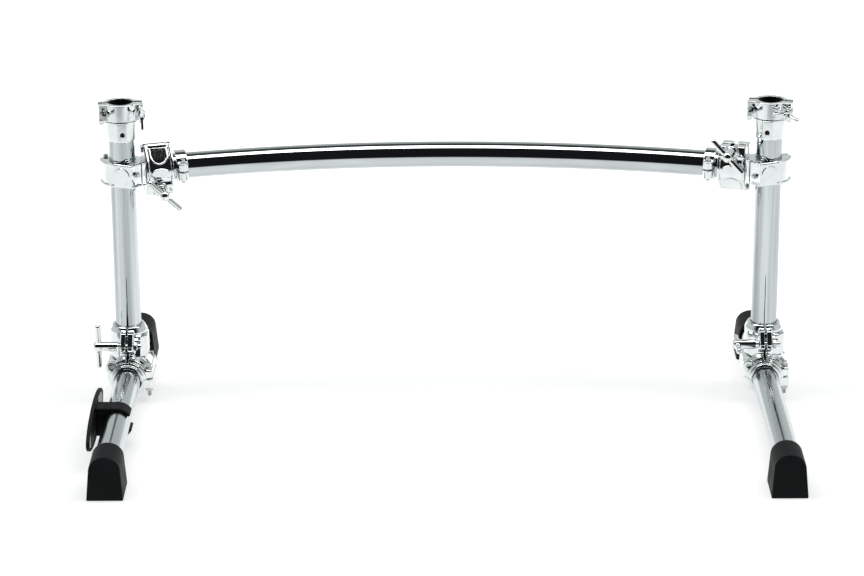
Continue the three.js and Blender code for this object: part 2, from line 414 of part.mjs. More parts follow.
function makeSide(side, tag) {
  const g = new THREE.Group();
  const add = (name, body, material, place) => {
    const m = piece(`${tag}_${name}`, body, material);
    if (place) place(m);
    g.add(m);
    return m;
  };
  // leg, base and post are the same way round on both sides
  add('leg_tube', legTube(), chromeA());
  add('foot_front', foot(true), rubber());
  add('foot_rear', foot(false), rubber());
  add('base_casting', baseCasting(), chromeB());
  add('base_keeper', baseKeeper(), chromeB());
  add('base_hinge_pin', baseHingePin(), steel());
  add('base_key_bolt_front', baseKeyBolt(KEEPER_BOLT_Y[0]), steel());
  add('base_key_bolt_rear', baseKeyBolt(KEEPER_BOLT_Y[1]), steel());
  add('base_nut_plate', baseNutPlate(), steel());
  const baseT = new THREE.Group();
  baseT.position.set(-50, BASE_TY, BASE_TZ);
  if (side > 0) baseT.rotation.x = Math.PI / 2;
  baseT.add(piece(`${tag}_base_t_bolt`, tBolt(38.5, 3.7, 34), chromeB()));
  const bar1 = piece(`${tag}_base_t_bar`, tBar(), chromeB());
  bar1.position.x = 7.8;
  baseT.add(bar1);
  g.add(baseT);
  add('base_nut', hexNut(0, 6.2, 7.2, 4.15), steel(), (m) => m.position.set(9.5 + GAP, BASE_TY, BASE_TZ));
  add('post_tube', tube('z', 0, 0, TUBE_R, TUBE_R - TUBE_WALL, POST_Z0, POST_Z1), chromeA());

  // top unit, turned towards the middle
  const top = new THREE.Group();
  top.rotation.z = rad(-side * TOP_YAW[side < 0 ? 0 : 1]);
  top.add(piece(`${tag}_top_casting`, topCasting(), chromeB()));
  top.add(piece(`${tag}_top_gate`, topGate(), chromeB()));
  top.add(piece(`${tag}_top_key_bolt`, topKeyBolt(), steel()));
  top.add(piece(`${tag}_top_key_screw`, topKeyScrew(), steel()));
  top.add(piece(`${tag}_top_wing_screw`, wingScrew(side < 0 ? 90 : 18), chromeB()));
  g.add(top);

  // crossbar clamp: the right one is the left one turned over
  const flip = new THREE.Group();
  flip.position.z = BAR_Z;
  if (side > 0) flip.rotation.y = Math.PI;
  flip.add(piece(`${tag}_clamp_body`, clampBody(), chromeB()));
  flip.add(piece(`${tag}_ring_gate`, ringGate(), chromeB()));
  flip.add(piece(`${tag}_ring_pin`, ringPin(), steel()));
  flip.add(piece(`${tag}_ring_key_bolt`, ringKeyBolt(), steel()));
  const yawed = new THREE.Group();
  yawed.rotation.z = PHI;
  yawed.add(piece(`${tag}_bar_gate`, barGate(), chromeB()));
  yawed.add(piece(`${tag}_bar_pin`, barPin(), steel()));
  const barT = new THREE.Group();
  // barrel outwards along -Y, crossbar leaning down towards the middle
  barT.position.set(BAR_TS, -60, BAR_TZ);
  barT.rotation.set(0, 0, Math.PI / 2);
  const lean = new THREE.Group();
  lean.rotation.x = rad(-45);
  lean.add(piece(`${tag}_bar_t_bolt`, tBolt(33, 3.7, 36), chromeB()));
  const bar2 = piece(`${tag}_bar_t_bar`, tBar(), chromeB());
  bar2.position.x = 7.8;
  lean.add(bar2);
  barT.add(lean);
  yawed.add(barT);
  flip.add(yawed);

  // memory collar, on the bend just inside the clamp
  const s = COLLAR_S - (POST_X - BAR_TX) / Math.cos(PHI);
  const a = PHI - s / BAR_R;
  const collar = new THREE.Group();
  collar.position.set(side * BAR_R * Math.sin(a), BEND_CY + BAR_R * Math.cos(a), BAR_Z);
  collar.rotation.z = -side * a;
  collar.add(piece(`${tag}_memory_collar`, memoryCollar(), chromeB()));
  collar.add(piece(`${tag}_memory_key_bolt`, memoryKeyBolt(), steel()));

  g.add(flip);
  onPost(side, g);
  const both = new THREE.Group();
  both.add(g, collar);
  return both;
}

const frame = new THREE.Group();
frame.position.set(ORIGIN_X, ORIGIN_Y, 0);
frame.add(makeSide(-1, 'left'), makeSide(1, 'right'));
const bar = piece('curved_bar', curvedBar(), chromeA());
bar.position.z = BAR_Z;
frame.add(bar);
const badge = new THREE.Group();
badge.position.x = -POST_X;
badge.add(piece('badge_clip', badgeClip(), plastic()), piece('badge_plate', badgePlate(), plastic()));
frame.add(badge);

export default frame;
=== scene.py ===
import math
import bpy
import numpy as np
from mathutils import Matrix, Vector


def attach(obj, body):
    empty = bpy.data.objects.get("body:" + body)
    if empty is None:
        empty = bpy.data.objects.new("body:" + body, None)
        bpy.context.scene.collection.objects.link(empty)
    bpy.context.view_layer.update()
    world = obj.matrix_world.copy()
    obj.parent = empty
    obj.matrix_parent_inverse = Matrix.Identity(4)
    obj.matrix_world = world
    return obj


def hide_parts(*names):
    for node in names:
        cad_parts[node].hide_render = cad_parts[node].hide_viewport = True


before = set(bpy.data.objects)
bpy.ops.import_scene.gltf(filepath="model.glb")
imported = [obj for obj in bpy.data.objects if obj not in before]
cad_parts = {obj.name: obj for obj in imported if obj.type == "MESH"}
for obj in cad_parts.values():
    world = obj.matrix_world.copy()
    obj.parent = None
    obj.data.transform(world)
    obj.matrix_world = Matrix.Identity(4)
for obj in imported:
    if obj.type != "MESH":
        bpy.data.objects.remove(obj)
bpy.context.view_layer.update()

# ------------------------------------------------------------------ dimensions
# Millimetres, the same numbers as the solid model.
TUBE_R, TUBE_WALL, BORE_R = 19.05, 1.6, 19.45
POST_X, POST_Z0, POST_Z1 = 474.0, 66.0, 427.5
BAR_Z, BAR_R, BAR_TX, BAR_END_S = 351.0, 1467.8, 425.0, 31.5
LEG_Z, LEG_FRONT, LEG_REAR = 38.2, -410.0, 200.0
FOOT_W, FOOT_L, FOOT_H, FOOT_CAP, FOOT_LEAN = 51.5, 67.0, 61.6, 12.0, 9.0
RING_HALF_H, BLOCK_S0, BLOCK_S1, COLLAR_S = 18.0, 30.5, 71.5, 85.5
SOCKET_Z0, SOCKET_Z1, TOP_Z, TOP_YAW, TOP_BORE_R = 399.5, 430.5, 456.0, (9.0, 14.0), 15.75
TOP_BOLT_X, TOP_BOLT_Z, WING_X, EAR_FRONT, EAR_REAR, EAR_Z0 = 25.0, 443.0, 28.5, 16.0, 9.0, 426.8
BASE_TZ, BASE_TY = 90.0, -38.0
HINGE_X, HINGE_Z, HINGE_R = -24.0, 55.5, 9.0
KEEPER_BOLT_X, KEEPER_BOLT_Y = 30.5, (-29.0, 22.0)
SPLIT_Z = LEG_Z + 0.4
RING_HX, RING_HY, RING_HR = -25.5, 13.0, 5.0
BAR_HT, BAR_HZ, BAR_HR, KNUCKLE, BAR_TS, BAR_TZ = 2.0, 30.5, 7.4, 6.2, 51.0, -28.0
PLATE_X, PLATE_Y, PLATE_Z, PLATE_YAW, PLATE_LY, PLATE_LZ = -33.0, -203.0, 40.0, 0.3, 105.0, 26.0
CLIP_Y0, CLIP_Y1, CLIP_TOP = -217.0, -189.0, 61.5
PHI = math.asin(BAR_TX / BAR_R)
BEND_CY = (POST_X - BAR_TX) * math.tan(PHI) - BAR_R * math.cos(PHI)
ORIGIN = (6.5, 105.0, 0.0)


def T(x, y, z):
    return Matrix.Translation((x, y, z))


def R(axis, deg):
    return Matrix.Rotation(math.radians(deg), 4, axis)


WORLD = Matrix.Scale(0.001, 4) @ T(*ORIGIN)


def side_matrix(side):
    return WORLD @ T(side * POST_X, 0, 0)


def top_matrix(side):
    return side_matrix(side) @ R("Z", -side * TOP_YAW[side > 0])


def clamp_matrix(side):
    m = side_matrix(side) @ T(0, 0, BAR_Z)
    return m if side < 0 else m @ R("Y", 180)


def block_matrix(side):
    return clamp_matrix(side) @ R("Z", math.degrees(PHI))


def collar_matrix(side):
    a = PHI - (COLLAR_S - (POST_X - BAR_TX) / math.cos(PHI)) / BAR_R
    return WORLD @ T(side * BAR_R * math.sin(a), BEND_CY + BAR_R * math.cos(a), BAR_Z) @ R("Z", -side * math.degrees(a))


# ------------------------------------------------------- distance-field solids
# A casting is written as a distance field: each form is a rounded primitive,
# joined by smooth unions that make the fillets of a casting.
def smin(a, b, k):
    h = np.clip(0.5 + 0.5 * (b - a) / k, 0, 1)
    return b + (a - b) * h - k * h * (1 - h)


def smax(a, b, k):
    return -smin(-a, -b, k)


def union(k, *d):
    out = d[0]
    for b in d[1:]:
        out = smin(out, b, k)
    return out


def both(d, h, e):
    # where two slabs meet, with an edge of radius e
    u, v = d + e, h + e
    return np.minimum(np.maximum(u, v), 0) + np.hypot(np.maximum(u, 0), np.maximum(v, 0)) - e


def turned_to(p, axis):
    x, y, z = p
    return {"z": (x, y, z), "x": (y, z, x), "y": (z, x, y)}[axis]


def cyl(p, axis, cu, cv, r, lo, hi, e=0.8):
    u, v, w = turned_to(p, axis)
    return both(np.hypot(u - cu, v - cv) - r, np.abs(w - (lo + hi) / 2) - (hi - lo) / 2, e)


def ring_bore(p, axis, cu, cv, r):
    u, v, _ = turned_to(p, axis)
    return r - np.hypot(u - cu, v - cv)


def block(p, x0, x1, y0, y1, z0, z1, e=0.8):
    q = [np.abs(c - (a + b) / 2) - (b - a) / 2 + e for c, a, b in zip(p, (x0, y0, z0), (x1, y1, z1))]
    inside = np.minimum(np.maximum(np.maximum(q[0], q[1]), q[2]), 0)
    return inside + np.sqrt(np.maximum(q[0], 0) ** 2 + np.maximum(q[1], 0) ** 2 + np.maximum(q[2], 0) ** 2) - e


def inset(pts, r):
    # moves each side of a counter-clockwise outline in by r
    n, out = len(pts), []
    for i in range(n):
        p0, p1, p2 = (np.array(pts[j % n], float) for j in (i - 1, i, i + 1))
        a, b = p1 - p0, p2 - p1
        a, b = a / np.linalg.norm(a), b / np.linalg.norm(b)
        na, nb = np.array([-a[1], a[0]]), np.array([-b[1], b[0]])
        m = na + nb
        m = m / max(np.dot(m, na), 0.25)
        out.append(tuple(p1 + m * r))
    return out


def poly(u, v, pts):
    d, s = None, None
    n = len(pts)
    for i in range(n):
        ax, ay = pts[i]
        bx, by = pts[i - 1]
        ex, ey = bx - ax, by - ay
        wx, wy = u - ax, v - ay
        t = np.clip((wx * ex + wy * ey) / (ex * ex + ey * ey), 0, 1)
        dx, dy = wx - ex * t, wy - ey * t
        q = dx * dx + dy * dy
        d = q if d is None else np.minimum(d, q)
        c1, c2, c3 = (v >= ay) & (u == u), (v < by) & (u == u), ex * wy > ey * wx
        flip = (c1 & c2 & c3) | (~c1 & ~c2 & ~c3)
        s = np.where(flip, -1.0, 1.0) if s is None else np.where(flip, -s, s)
    return s * np.sqrt(d)


def plate(p, axis, pts, lo, hi, r=1.0, e=0.8):
    # an outline raised along an axis, with corners of radius r and edges of radius e
    area = sum(pts[i - 1][0] * pts[i][1] - pts[i][0] * pts[i - 1][1] for i in range(len(pts)))
    pts = list(pts) if area > 0 else list(reversed(pts))
    u, v, w = turned_to(p, axis)
    d = poly(u, v, inset(pts, r) if r > 0 else pts) - r
    return both(d, np.abs(w - (lo + hi) / 2) - (hi - lo) / 2, e)


def arc(cx, cy, r, a0, a1, n):
    return [(cx + r * math.cos(math.radians(a0 + (a1 - a0) * i / n)), cy + r * math.sin(math.radians(a0 + (a1 - a0) * i / n))) for i in range(n + 1)]


def local(p, m):
    # the point p seen from the frame m (a 4x4 in millimetres)
    i = m.inverted()
    out = []
    for k in range(3):
        terms = [i[k][j] * p[j] for j in range(3) if abs(i[k][j]) > 1e-7]
        out.append(sum(terms[1:], terms[0]) + i[k][3])
    return tuple(out)


def net(f, lo, hi, h):
    """A smooth closed quad mesh of f = 0: (vertices, normals, quads)."""
    lo, hi = np.array(lo, float) - 2.2 * h, np.array(hi, float) + 2.2 * h
    n = np.ceil((hi - lo) / h).astype(int) + 1
    g = [lo[i] + h * np.arange(n[i]) for i in range(3)]
    v = np.broadcast_to(f((g[0][:, None, None], g[1][None, :, None], g[2][None, None, :])), tuple(n)).astype(np.float64)
    v = np.where(np.abs(v) < 1e-9, 1e-9, v)
    inside = v < 0
    cells = tuple(n - 1)
    total, count = np.zeros(cells + (3,)), np.zeros(cells)
    crossed = []
    for a in range(3):
        b, c = (a + 1) % 3, (a + 2) % 3
        s0, s1 = [slice(None)] * 3, [slice(None)] * 3
        s0[a], s1[a] = slice(0, n[a] - 1), slice(1, n[a])
        v0, v1 = v[tuple(s0)], v[tuple(s1)]
        hit = inside[tuple(s0)] != inside[tuple(s1)]
        t = np.where(hit, v0 / np.where(hit, v0 - v1, 1), 0)
        crossed.append((hit, inside[tuple(s0)]))
        for db in (0, 1):
            for dc in (0, 1):
                s = [slice(None)] * 3
                s[b], s[c] = slice(db, n[b] - 1 + db), slice(dc, n[c] - 1 + dc)
                s = tuple(s)
                m, tt = hit[s], t[s]
                count += m
                total[..., a] += np.where(m, tt, 0)
                total[..., b] += np.where(m, db, 0)
                total[..., c] += np.where(m, dc, 0)
    used = count > 0
    index = np.full(cells, -1, int)
    index[used] = np.arange(used.sum())
    where = np.argwhere(used)
    verts = lo + h * (where + total[used] / count[used][:, None])
    quads = []
    for a in range(3):
        b, c = (a + 1) % 3, (a + 2) % 3
        hit, first = crossed[a]
        at = np.argwhere(hit)
        ok = (at[:, b] > 0) & (at[:, c] > 0) & (at[:, b] < n[b] - 1) & (at[:, c] < n[c] - 1)
        at = at[ok]

        def cell(db, dc):
            q = at.copy()
            q[:, b] -= db
            q[:, c] -= dc
            return index[tuple(q.T)]
        q = np.stack([cell(1, 1), cell(0, 1), cell(0, 0), cell(1, 0)], 1)
        way = first[tuple(at.T)]
        q[~way] = q[~way][:, ::-1]
        quads.append(q)
    quads = np.concatenate(quads)
    used_v = np.unique(quads)
    if len(used_v) < len(verts):
        remap = np.full(len(verts), -1)
        remap[used_v] = np.arange(len(used_v))
        verts, quads = verts[used_v], remap[quads]

    def grad(p):
        out, e = np.zeros_like(p), 0.03
        for a in range(3):
            d = np.zeros(3)
            d[a] = e
            q0, q1 = p - d, p + d
            out[:, a] = (f(tuple(q1.T)) - f(tuple(q0.T))) / (2 * e)
        return out

    def project(p, times):
        for _ in range(times):
            gr = grad(p)
            m = np.maximum((gr ** 2).sum(1), 0.05)
            step = f(tuple(p.T)) / m
            p = p - gr * np.clip(step, -0.4 * h, 0.4 * h)[:, None]
        return p
    verts = project(verts, 2)
    edges = np.concatenate([quads[:, [0, 1]], quads[:, [1, 2]], quads[:, [2, 3]], quads[:, [3, 0]]])
    for _ in range(2):
        acc, num = np.zeros_like(verts), np.zeros(len(verts))
        for i, j in ((0, 1), (1, 0)):
            np.add.at(acc, edges[:, i], verts[edges[:, j]])
            np.add.at(num, edges[:, i], 1)
        verts = project(verts * 0.45 + 0.55 * acc / num[:, None], 1)
    verts = project(verts, 2)
    nrm = grad(verts)
    nrm /= np.maximum(np.linalg.norm(nrm, axis=1), 1e-9)[:, None]
    return verts, nrm, quads


def as_mesh(name, verts, quads, normals=None):
    me = bpy.data.meshes.new(name)
    nv, nq = len(verts), len(quads)
    me.vertices.add(nv)
    me.vertices.foreach_set("co", np.asarray(verts, np.float32).ravel())
    flat = [i for q in quads for i in q] if isinstance(quads, list) else np.asarray(quads, np.int32).ravel()
    sizes = [len(q) for q in quads] if isinstance(quads, list) else np.full(nq, quads.shape[1])
    me.loops.add(len(flat))
    me.loops.foreach_set("vertex_index", np.asarray(flat, np.int32))
    me.polygons.add(nq)
    starts = np.concatenate([[0], np.cumsum(sizes)[:-1]]).astype(np.int32)
    me.polygons.foreach_set("loop_start", starts)
    me.update(calc_edges=True)
    me.validate()
    me.polygons.foreach_set("use_smooth", np.ones(len(me.polygons), bool))
    if normals is not None and len(me.vertices) == len(normals):
        me.normals_split_custom_set_from_vertices(np.asarray(normals, np.float32))
    me.update()
    return me


def emit(name, shape, m, body, slot, material, *nodes):
    verts, normals, quads = shape
    a = np.array(m)
    v = verts @ a[:3, :3].T + a[:3, 3]
    nr = None
    if normals is not None:
        nr = normals @ a[:3, :3].T
        nr /= np.maximum(np.linalg.norm(nr, axis=1), 1e-12)[:, None]
    o = bpy.data.objects.new(name, as_mesh(name, v, quads, nr))
    bpy.context.scene.collection.objects.link(o)
    o.data.materials.append(material)
    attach(o, body)
    if nodes:
        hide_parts(*nodes)
    return o


def lathe(profile, seg=96, closed=False, axis="z"):
    """Turned solid. profile is [(r, w)...] from one end of the axis to the other."""
    pts, out_v, out_n, quads = profile, [], [], []
    n = len(pts)
    order = list(range(n if closed else n - 1))
    ang = 2 * np.pi * np.arange(seg) / seg
    cs, sn = np.cos(ang), np.sin(ang)
    base = 0
    rows = []
    for i, (r, w) in enumerate(pts):
        if r < 1e-6:
            rows.append([base] * seg)
            out_v.append((0, 0, w))
            base += 1
        else:
            rows.append([base + k for k in range(seg)])
            out_v += [(r * cs[k], r * sn[k], w) for k in range(seg)]
            base += seg
    for i in order:
        a, b = rows[i], rows[(i + 1) % n]
        for k in range(seg):
            l = (k + 1) % seg
            q = [a[k], a[l], b[l], b[k]]
            q = [q[j] for j in range(4) if q[j] != q[j - 1]]
            quads.append(q)
    v = np.array(out_v, float)
    if axis == "x":
        v = v[:, [2, 0, 1]]
    elif axis == "y":
        v = v[:, [1, 2, 0]]
    return v, None, quads


def rounded(profile, r, steps=4, closed=False):
    """Rounds the corners of a profile: each entry is (radial, axial) or (radial, axial, its own radius)."""
    n, out = len(profile), []
    for i in range(n):
        p = np.array(profile[i][:2], float)
        rr = profile[i][2] if len(profile[i]) > 2 else r
        if (not closed and i in (0, n - 1)) or rr <= 0:
            out.append(tuple(p))
            continue
        a, b = np.array(profile[i - 1][:2], float) - p, np.array(profile[(i + 1) % n][:2], float) - p
        la, lb = np.linalg.norm(a), np.linalg.norm(b)
        rr = min(rr, 0.45 * la, 0.45 * lb)
        p0, p1 = p + a / la * rr, p + b / lb * rr
        for s in range(steps + 1):
            t = s / steps
            out.append(tuple((1 - t) ** 2 * p0 + 2 * t * (1 - t) * p + t * t * p1))
    return out


# ------------------------------------------------------------------- materials
def new_material(name):
    m = bpy.data.materials.new(name)
    m.use_nodes = True
    nt = m.node_tree
    nt.nodes.clear()
    out = nt.nodes.new("ShaderNodeOutputMaterial")
    bsdf = nt.nodes.new("ShaderNodeBsdfPrincipled")
    nt.links.new(bsdf.outputs[0], out.inputs[0])
    return m, nt, bsdf


def node(nt, kind, **props):
    n = nt.nodes.new(kind)
    for k, v in props.items():
        if k.startswith("in_"):
            n.inputs[k[3:].replace("_", " ")].default_value = v
        else:
            setattr(n, k, v)
    return n


def coords(nt, scale=(1, 1, 1)):
    tc = node(nt, "ShaderNodeTexCoord")
    mp = node(nt, "ShaderNodeMapping")
    mp.inputs["Scale"].default_value = scale
    nt.links.new(tc.outputs["Object"], mp.inputs["Vector"])
    return mp.outputs["Vector"]


def noise(nt, vec, scale, detail=3.0, rough=0.55):
    n = node(nt, "ShaderNodeTexNoise")
    n.inputs["Scale"].default_value = scale
    n.inputs["Detail"].default_value = detail
    n.inputs["Roughness"].default_value = rough
    nt.links.new(vec, n.inputs["Vector"])
    return n.outputs["Fac"]


def ramp(nt, fac, *stops):
    r = node(nt, "ShaderNodeValToRGB")
    e = r.color_ramp.elements
    while len(e) < len(stops):
        e.new(0.5)
    for el, (pos, col) in zip(e, stops):
        el.position = pos
        el.color = col if len(col) == 4 else (*col, 1)
    nt.links.new(fac, r.inputs["Fac"])
    return r.outputs["Color"]


def value_range(nt, fac, lo, hi, a=0.3, b=0.7):
    m = node(nt, "ShaderNodeMapRange")
    m.inputs["From Min"].default_value, m.inputs["From Max"].default_value = a, b
    m.inputs["To Min"].default_value, m.inputs["To Max"].default_value = lo, hi
    nt.links.new(fac, m.inputs["Value"])
    return m.outputs["Result"]


def bump(nt, bsdf, height, strength, distance, chain=None):
    b = node(nt, "ShaderNodeBump")
    b.inputs["Strength"].default_value = strength
    b.inputs["Distance"].default_value = distance
    nt.links.new(height, b.inputs["Height"])
    if chain is not None:
        nt.links.new(chain, b.inputs["Normal"])
    nt.links.new(b.outputs["Normal"], bsdf.inputs["Normal"])
    return b.outputs["Normal"]


def chrome(name, tone=(0.62, 0.655, 0.655), low=0.025, high=0.075, wave=0.0, wave_scale=60.0, streak=(1, 1, 1), grain=0.00001, depth=0.07):
    m, nt, bsdf = new_material(name)
    bsdf.inputs["Metallic"].default_value = 1.0
    v = coords(nt)
    # faint drawing lines along a tube; even tarnish on a casting
    drawn = min(streak) < 1
    stains = noise(nt, coords(nt, streak) if drawn else v, 70.0 if drawn else 45.0, 4.0)
    dark = tuple(c * (1 - depth) for c in tone)
    light = tuple(c * (1 + depth * 0.7 if drawn else 1) for c in tone)
    nt.links.new(ramp(nt, stains, (0.35, dark), (0.65, light)), bsdf.inputs["Base Color"])
    scratch = noise(nt, coords(nt, streak), 900.0, 5.0, 0.7)
    nt.links.new(value_range(nt, scratch, low, high, 0.35, 0.75), bsdf.inputs["Roughness"])
    chain = None
    if wave > 0:
        chain = bump(nt, bsdf, noise(nt, v, wave_scale, 2.0, 0.45), 1.0, wave)
    bump(nt, bsdf, scratch, 0.25, grain, chain)
    return m


def rubber_material():
    m, nt, bsdf = new_material("moulded_rubber")
    v = coords(nt)
    big, fine = noise(nt, v, 28.0, 4.0), noise(nt, v, 1500.0, 3.0, 0.7)
    nt.links.new(ramp(nt, big, (0.3, (0.0050, 0.0068, 0.0072)), (0.7, (0.0088, 0.0115, 0.0120))), bsdf.inputs["Base Color"])
    nt.links.new(value_range(nt, big, 0.50, 0.66), bsdf.inputs["Roughness"])
    bsdf.inputs["Specular IOR Level"].default_value = 0.1
    chain = bump(nt, bsdf, fine, 0.35, 0.00025)
    dents = noise(nt, v, 160.0, 3.0)
    bump(nt, bsdf, dents, 0.25, 0.0004, chain)
    return m


def plastic_material(name, dark, light, rough=(0.5, 0.66), specular=0.12):
    m, nt, bsdf = new_material(name)
    v = coords(nt)
    big, fine = noise(nt, v, 60.0, 3.0), noise(nt, v, 2400.0, 2.0, 0.6)
    nt.links.new(ramp(nt, big, (0.3, dark), (0.7, light)), bsdf.inputs["Base Color"])
    nt.links.new(value_range(nt, noise(nt, v, 220.0, 4.0), rough[0], rough[1]), bsdf.inputs["Roughness"])
    bsdf.inputs["Specular IOR Level"].default_value = specular
    bump(nt, bsdf, fine, 0.3, 0.00012)
    return m


TUBE = chrome("tube_chrome_polished", tone=(0.54, 0.58, 0.585), low=0.018, high=0.05, streak=(1, 1, 0.02), depth=0.32)
LEG_TUBE = chrome("tube_chrome_polished_leg", tone=(0.56, 0.595, 0.6), low=0.15, high=0.21, streak=(1, 0.02, 1), depth=0.16)
BAR_TUBE = chrome("tube_chrome_polished_bar", tone=(0.55, 0.585, 0.59), low=0.018, high=0.05, streak=(0.02, 1, 1), depth=0.1)
CAST = chrome("cast_chrome_polished", tone=(0.82, 0.855, 0.85), low=0.03, high=0.09, wave=0.00022, wave_scale=42.0)
BOLT = chrome("bolt_steel_plated", tone=(0.52, 0.55, 0.55), low=0.10, high=0.24, wave=0.00005, wave_scale=300.0)
# painted shade: the set screw is coloured near black to stand for the shade in its drilled hole
HOLE_SHADE_STEEL = chrome("bolt_steel_black_oxide", tone=(0.03, 0.032, 0.034), low=0.25, high=0.42)
RUBBER = rubber_material()
PLASTIC = plastic_material("black_plastic_satin", (0.005, 0.0062, 0.0066), (0.009, 0.0105, 0.011))
INLAY = plastic_material("pale_sheet_plain", (0.30, 0.33, 0.33), (0.36, 0.39, 0.39), (0.30, 0.42), 0.4)

for name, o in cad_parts.items():
    if "foot" in name:
        m = RUBBER
    elif name.startswith("badge"):
        m = PLASTIC
    elif "tube" in name or name == "curved_bar":
        m = TUBE
    elif any(k in name for k in ("pin", "key_bolt", "key_screw", "nut")):
        m = BOLT
    else:
        m = CAST
    o.data.materials.clear()
    o.data.materials.append(m)


# --------------------------------------------------------------------- shapes
def supported(profile, closed=False, near=0.35, far=1.2, shortest=6.0):
    # loops close to both ends of every long straight side
    n, out = len(profile), []
    for i in range(n):
        p = np.array(profile[i][:2], float)
        out.append(tuple(p))
        if i == n - 1 and not closed:
            break
        q = np.array(profile[(i + 1) % n][:2], float)
        length = np.linalg.norm(q - p)
        if length > shortest:
            u = (q - p) / length
            k = max(2, int(length / 25))
            inner = [near, far] + [far + (length - 2 * far) * j / k for j in range(1, k)] + [length - far, length - near]
            out += [tuple(p + u * t) for t in inner]
    return out


def tube_shape(ro, ri, lo, hi, axis, seg=144, lip=0.5):
    prof = supported(rounded([(ri, lo), (ro, lo), (ro, hi), (ri, hi)], lip, 3, closed=True), True)
    return lathe(prof, seg, closed=True, axis=axis)


def bar_axis(s):
    """Point and direction at arc length s from the middle, on the bar's centre line."""
    bend = BAR_R * PHI
    k = 1 if s >= 0 else -1
    a = abs(s)
    if a <= bend:
        t = s / BAR_R
        return (BAR_R * math.sin(t), BEND_CY + BAR_R * math.cos(t)), (math.cos(t), -math.sin(t))
    d = a - bend
    return (k * (BAR_TX + d * math.cos(PHI)), (POST_X - BAR_TX) * math.tan(PHI) - d * math.sin(PHI)), (math.cos(PHI), -k * math.sin(PHI))


def curved_bar_shape(seg=128, steps=220):
    half = (POST_X - BAR_TX) / math.cos(PHI) - BAR_END_S + BAR_R * PHI
    prof = []                       # (radius, distance in from the end)
    rim = 0.6
    lo = [(TUBE_R - TUBE_WALL, 0.0), (TUBE_R - rim, 0.0), (TUBE_R - rim * 0.3, rim * 0.3), (TUBE_R, rim)]
    rows = []
    for r, d in lo:
        rows.append((r, -half + d))
    rows += [(TUBE_R, -half + rim + 0.35), (TUBE_R, -half + rim + 1.2)]
    for i in range(1, steps):
        rows.append((TUBE_R, -half + rim + (2 * half - 2 * rim) * i / steps))
    rows += [(TUBE_R, half - rim - 1.2), (TUBE_R, half - rim - 0.35)]
    for r, d in reversed(lo):
        rows.append((r, half - d))
    inner = [(TUBE_R - TUBE_WALL, half - 2 * half * i / 60) for i in range(1, 60)]
    rows += inner
    ang = 2 * np.pi * np.arange(seg) / seg
    v = []
    for r, s in rows:
        (x, y), (tx, ty) = bar_axis(s)
        nx, ny = -ty, tx
        for a in ang:
            c, z = r * math.cos(a), r * math.sin(a)
            v.append((x + nx * c, y + ny * c, z + BAR_Z))
    n, quads = len(rows), []
    for i in range(n):
        a, b = i * seg, ((i + 1) % n) * seg
        for k in range(seg):
            l = (k + 1) % seg
            quads.append([a + k, a + l, b + l, b + k])
    return np.array(v), None, quads


def foot_f(front):
    w, top, spring = FOOT_W / 2, 22.4, 41.0
    pts = [(0, -w), (0, w)] + [(spring + (FOOT_H - spring) * math.sin(math.radians(a)), top * math.cos(math.radians(a))) for a in range(0, 181, 6)]
    y0 = LEG_FRONT if front else LEG_REAR - FOOT_L
    y1 = y0 + FOOT_L
    b0, b1 = (y0 + FOOT_CAP, y1 + 20) if front else (y0 - 20, y1 - FOOT_CAP)

    def f(p):
        d = plate(p, "y", pts, y0, y1, 1.6, 2.6)
        # the closed end leans back towards its top
        k = 1 if front else -1
        slope = FOOT_LEAN / FOOT_H
        lean = (k * ((y0 if front else y1) - p[1]) + slope * p[2]) / math.hypot(1, slope)
        d = smax(d, lean, 2.2)
        # a shallow mouth step round the tube
        d = smax(d, -cyl(p, "y", LEG_Z, 0, BORE_R, b0, b1, 0.5), 0.8)
        m0, m1 = (y1 - 3.0, y1 + 20) if front else (y0 - 20, y0 + 3.0)
        return smax(d, -cyl(p, "y", LEG_Z, 0, BORE_R + 1.1, m0, m1, 0.6), 0.7)
    return f, (-w, y0, 0), (w, y1, FOOT_H)


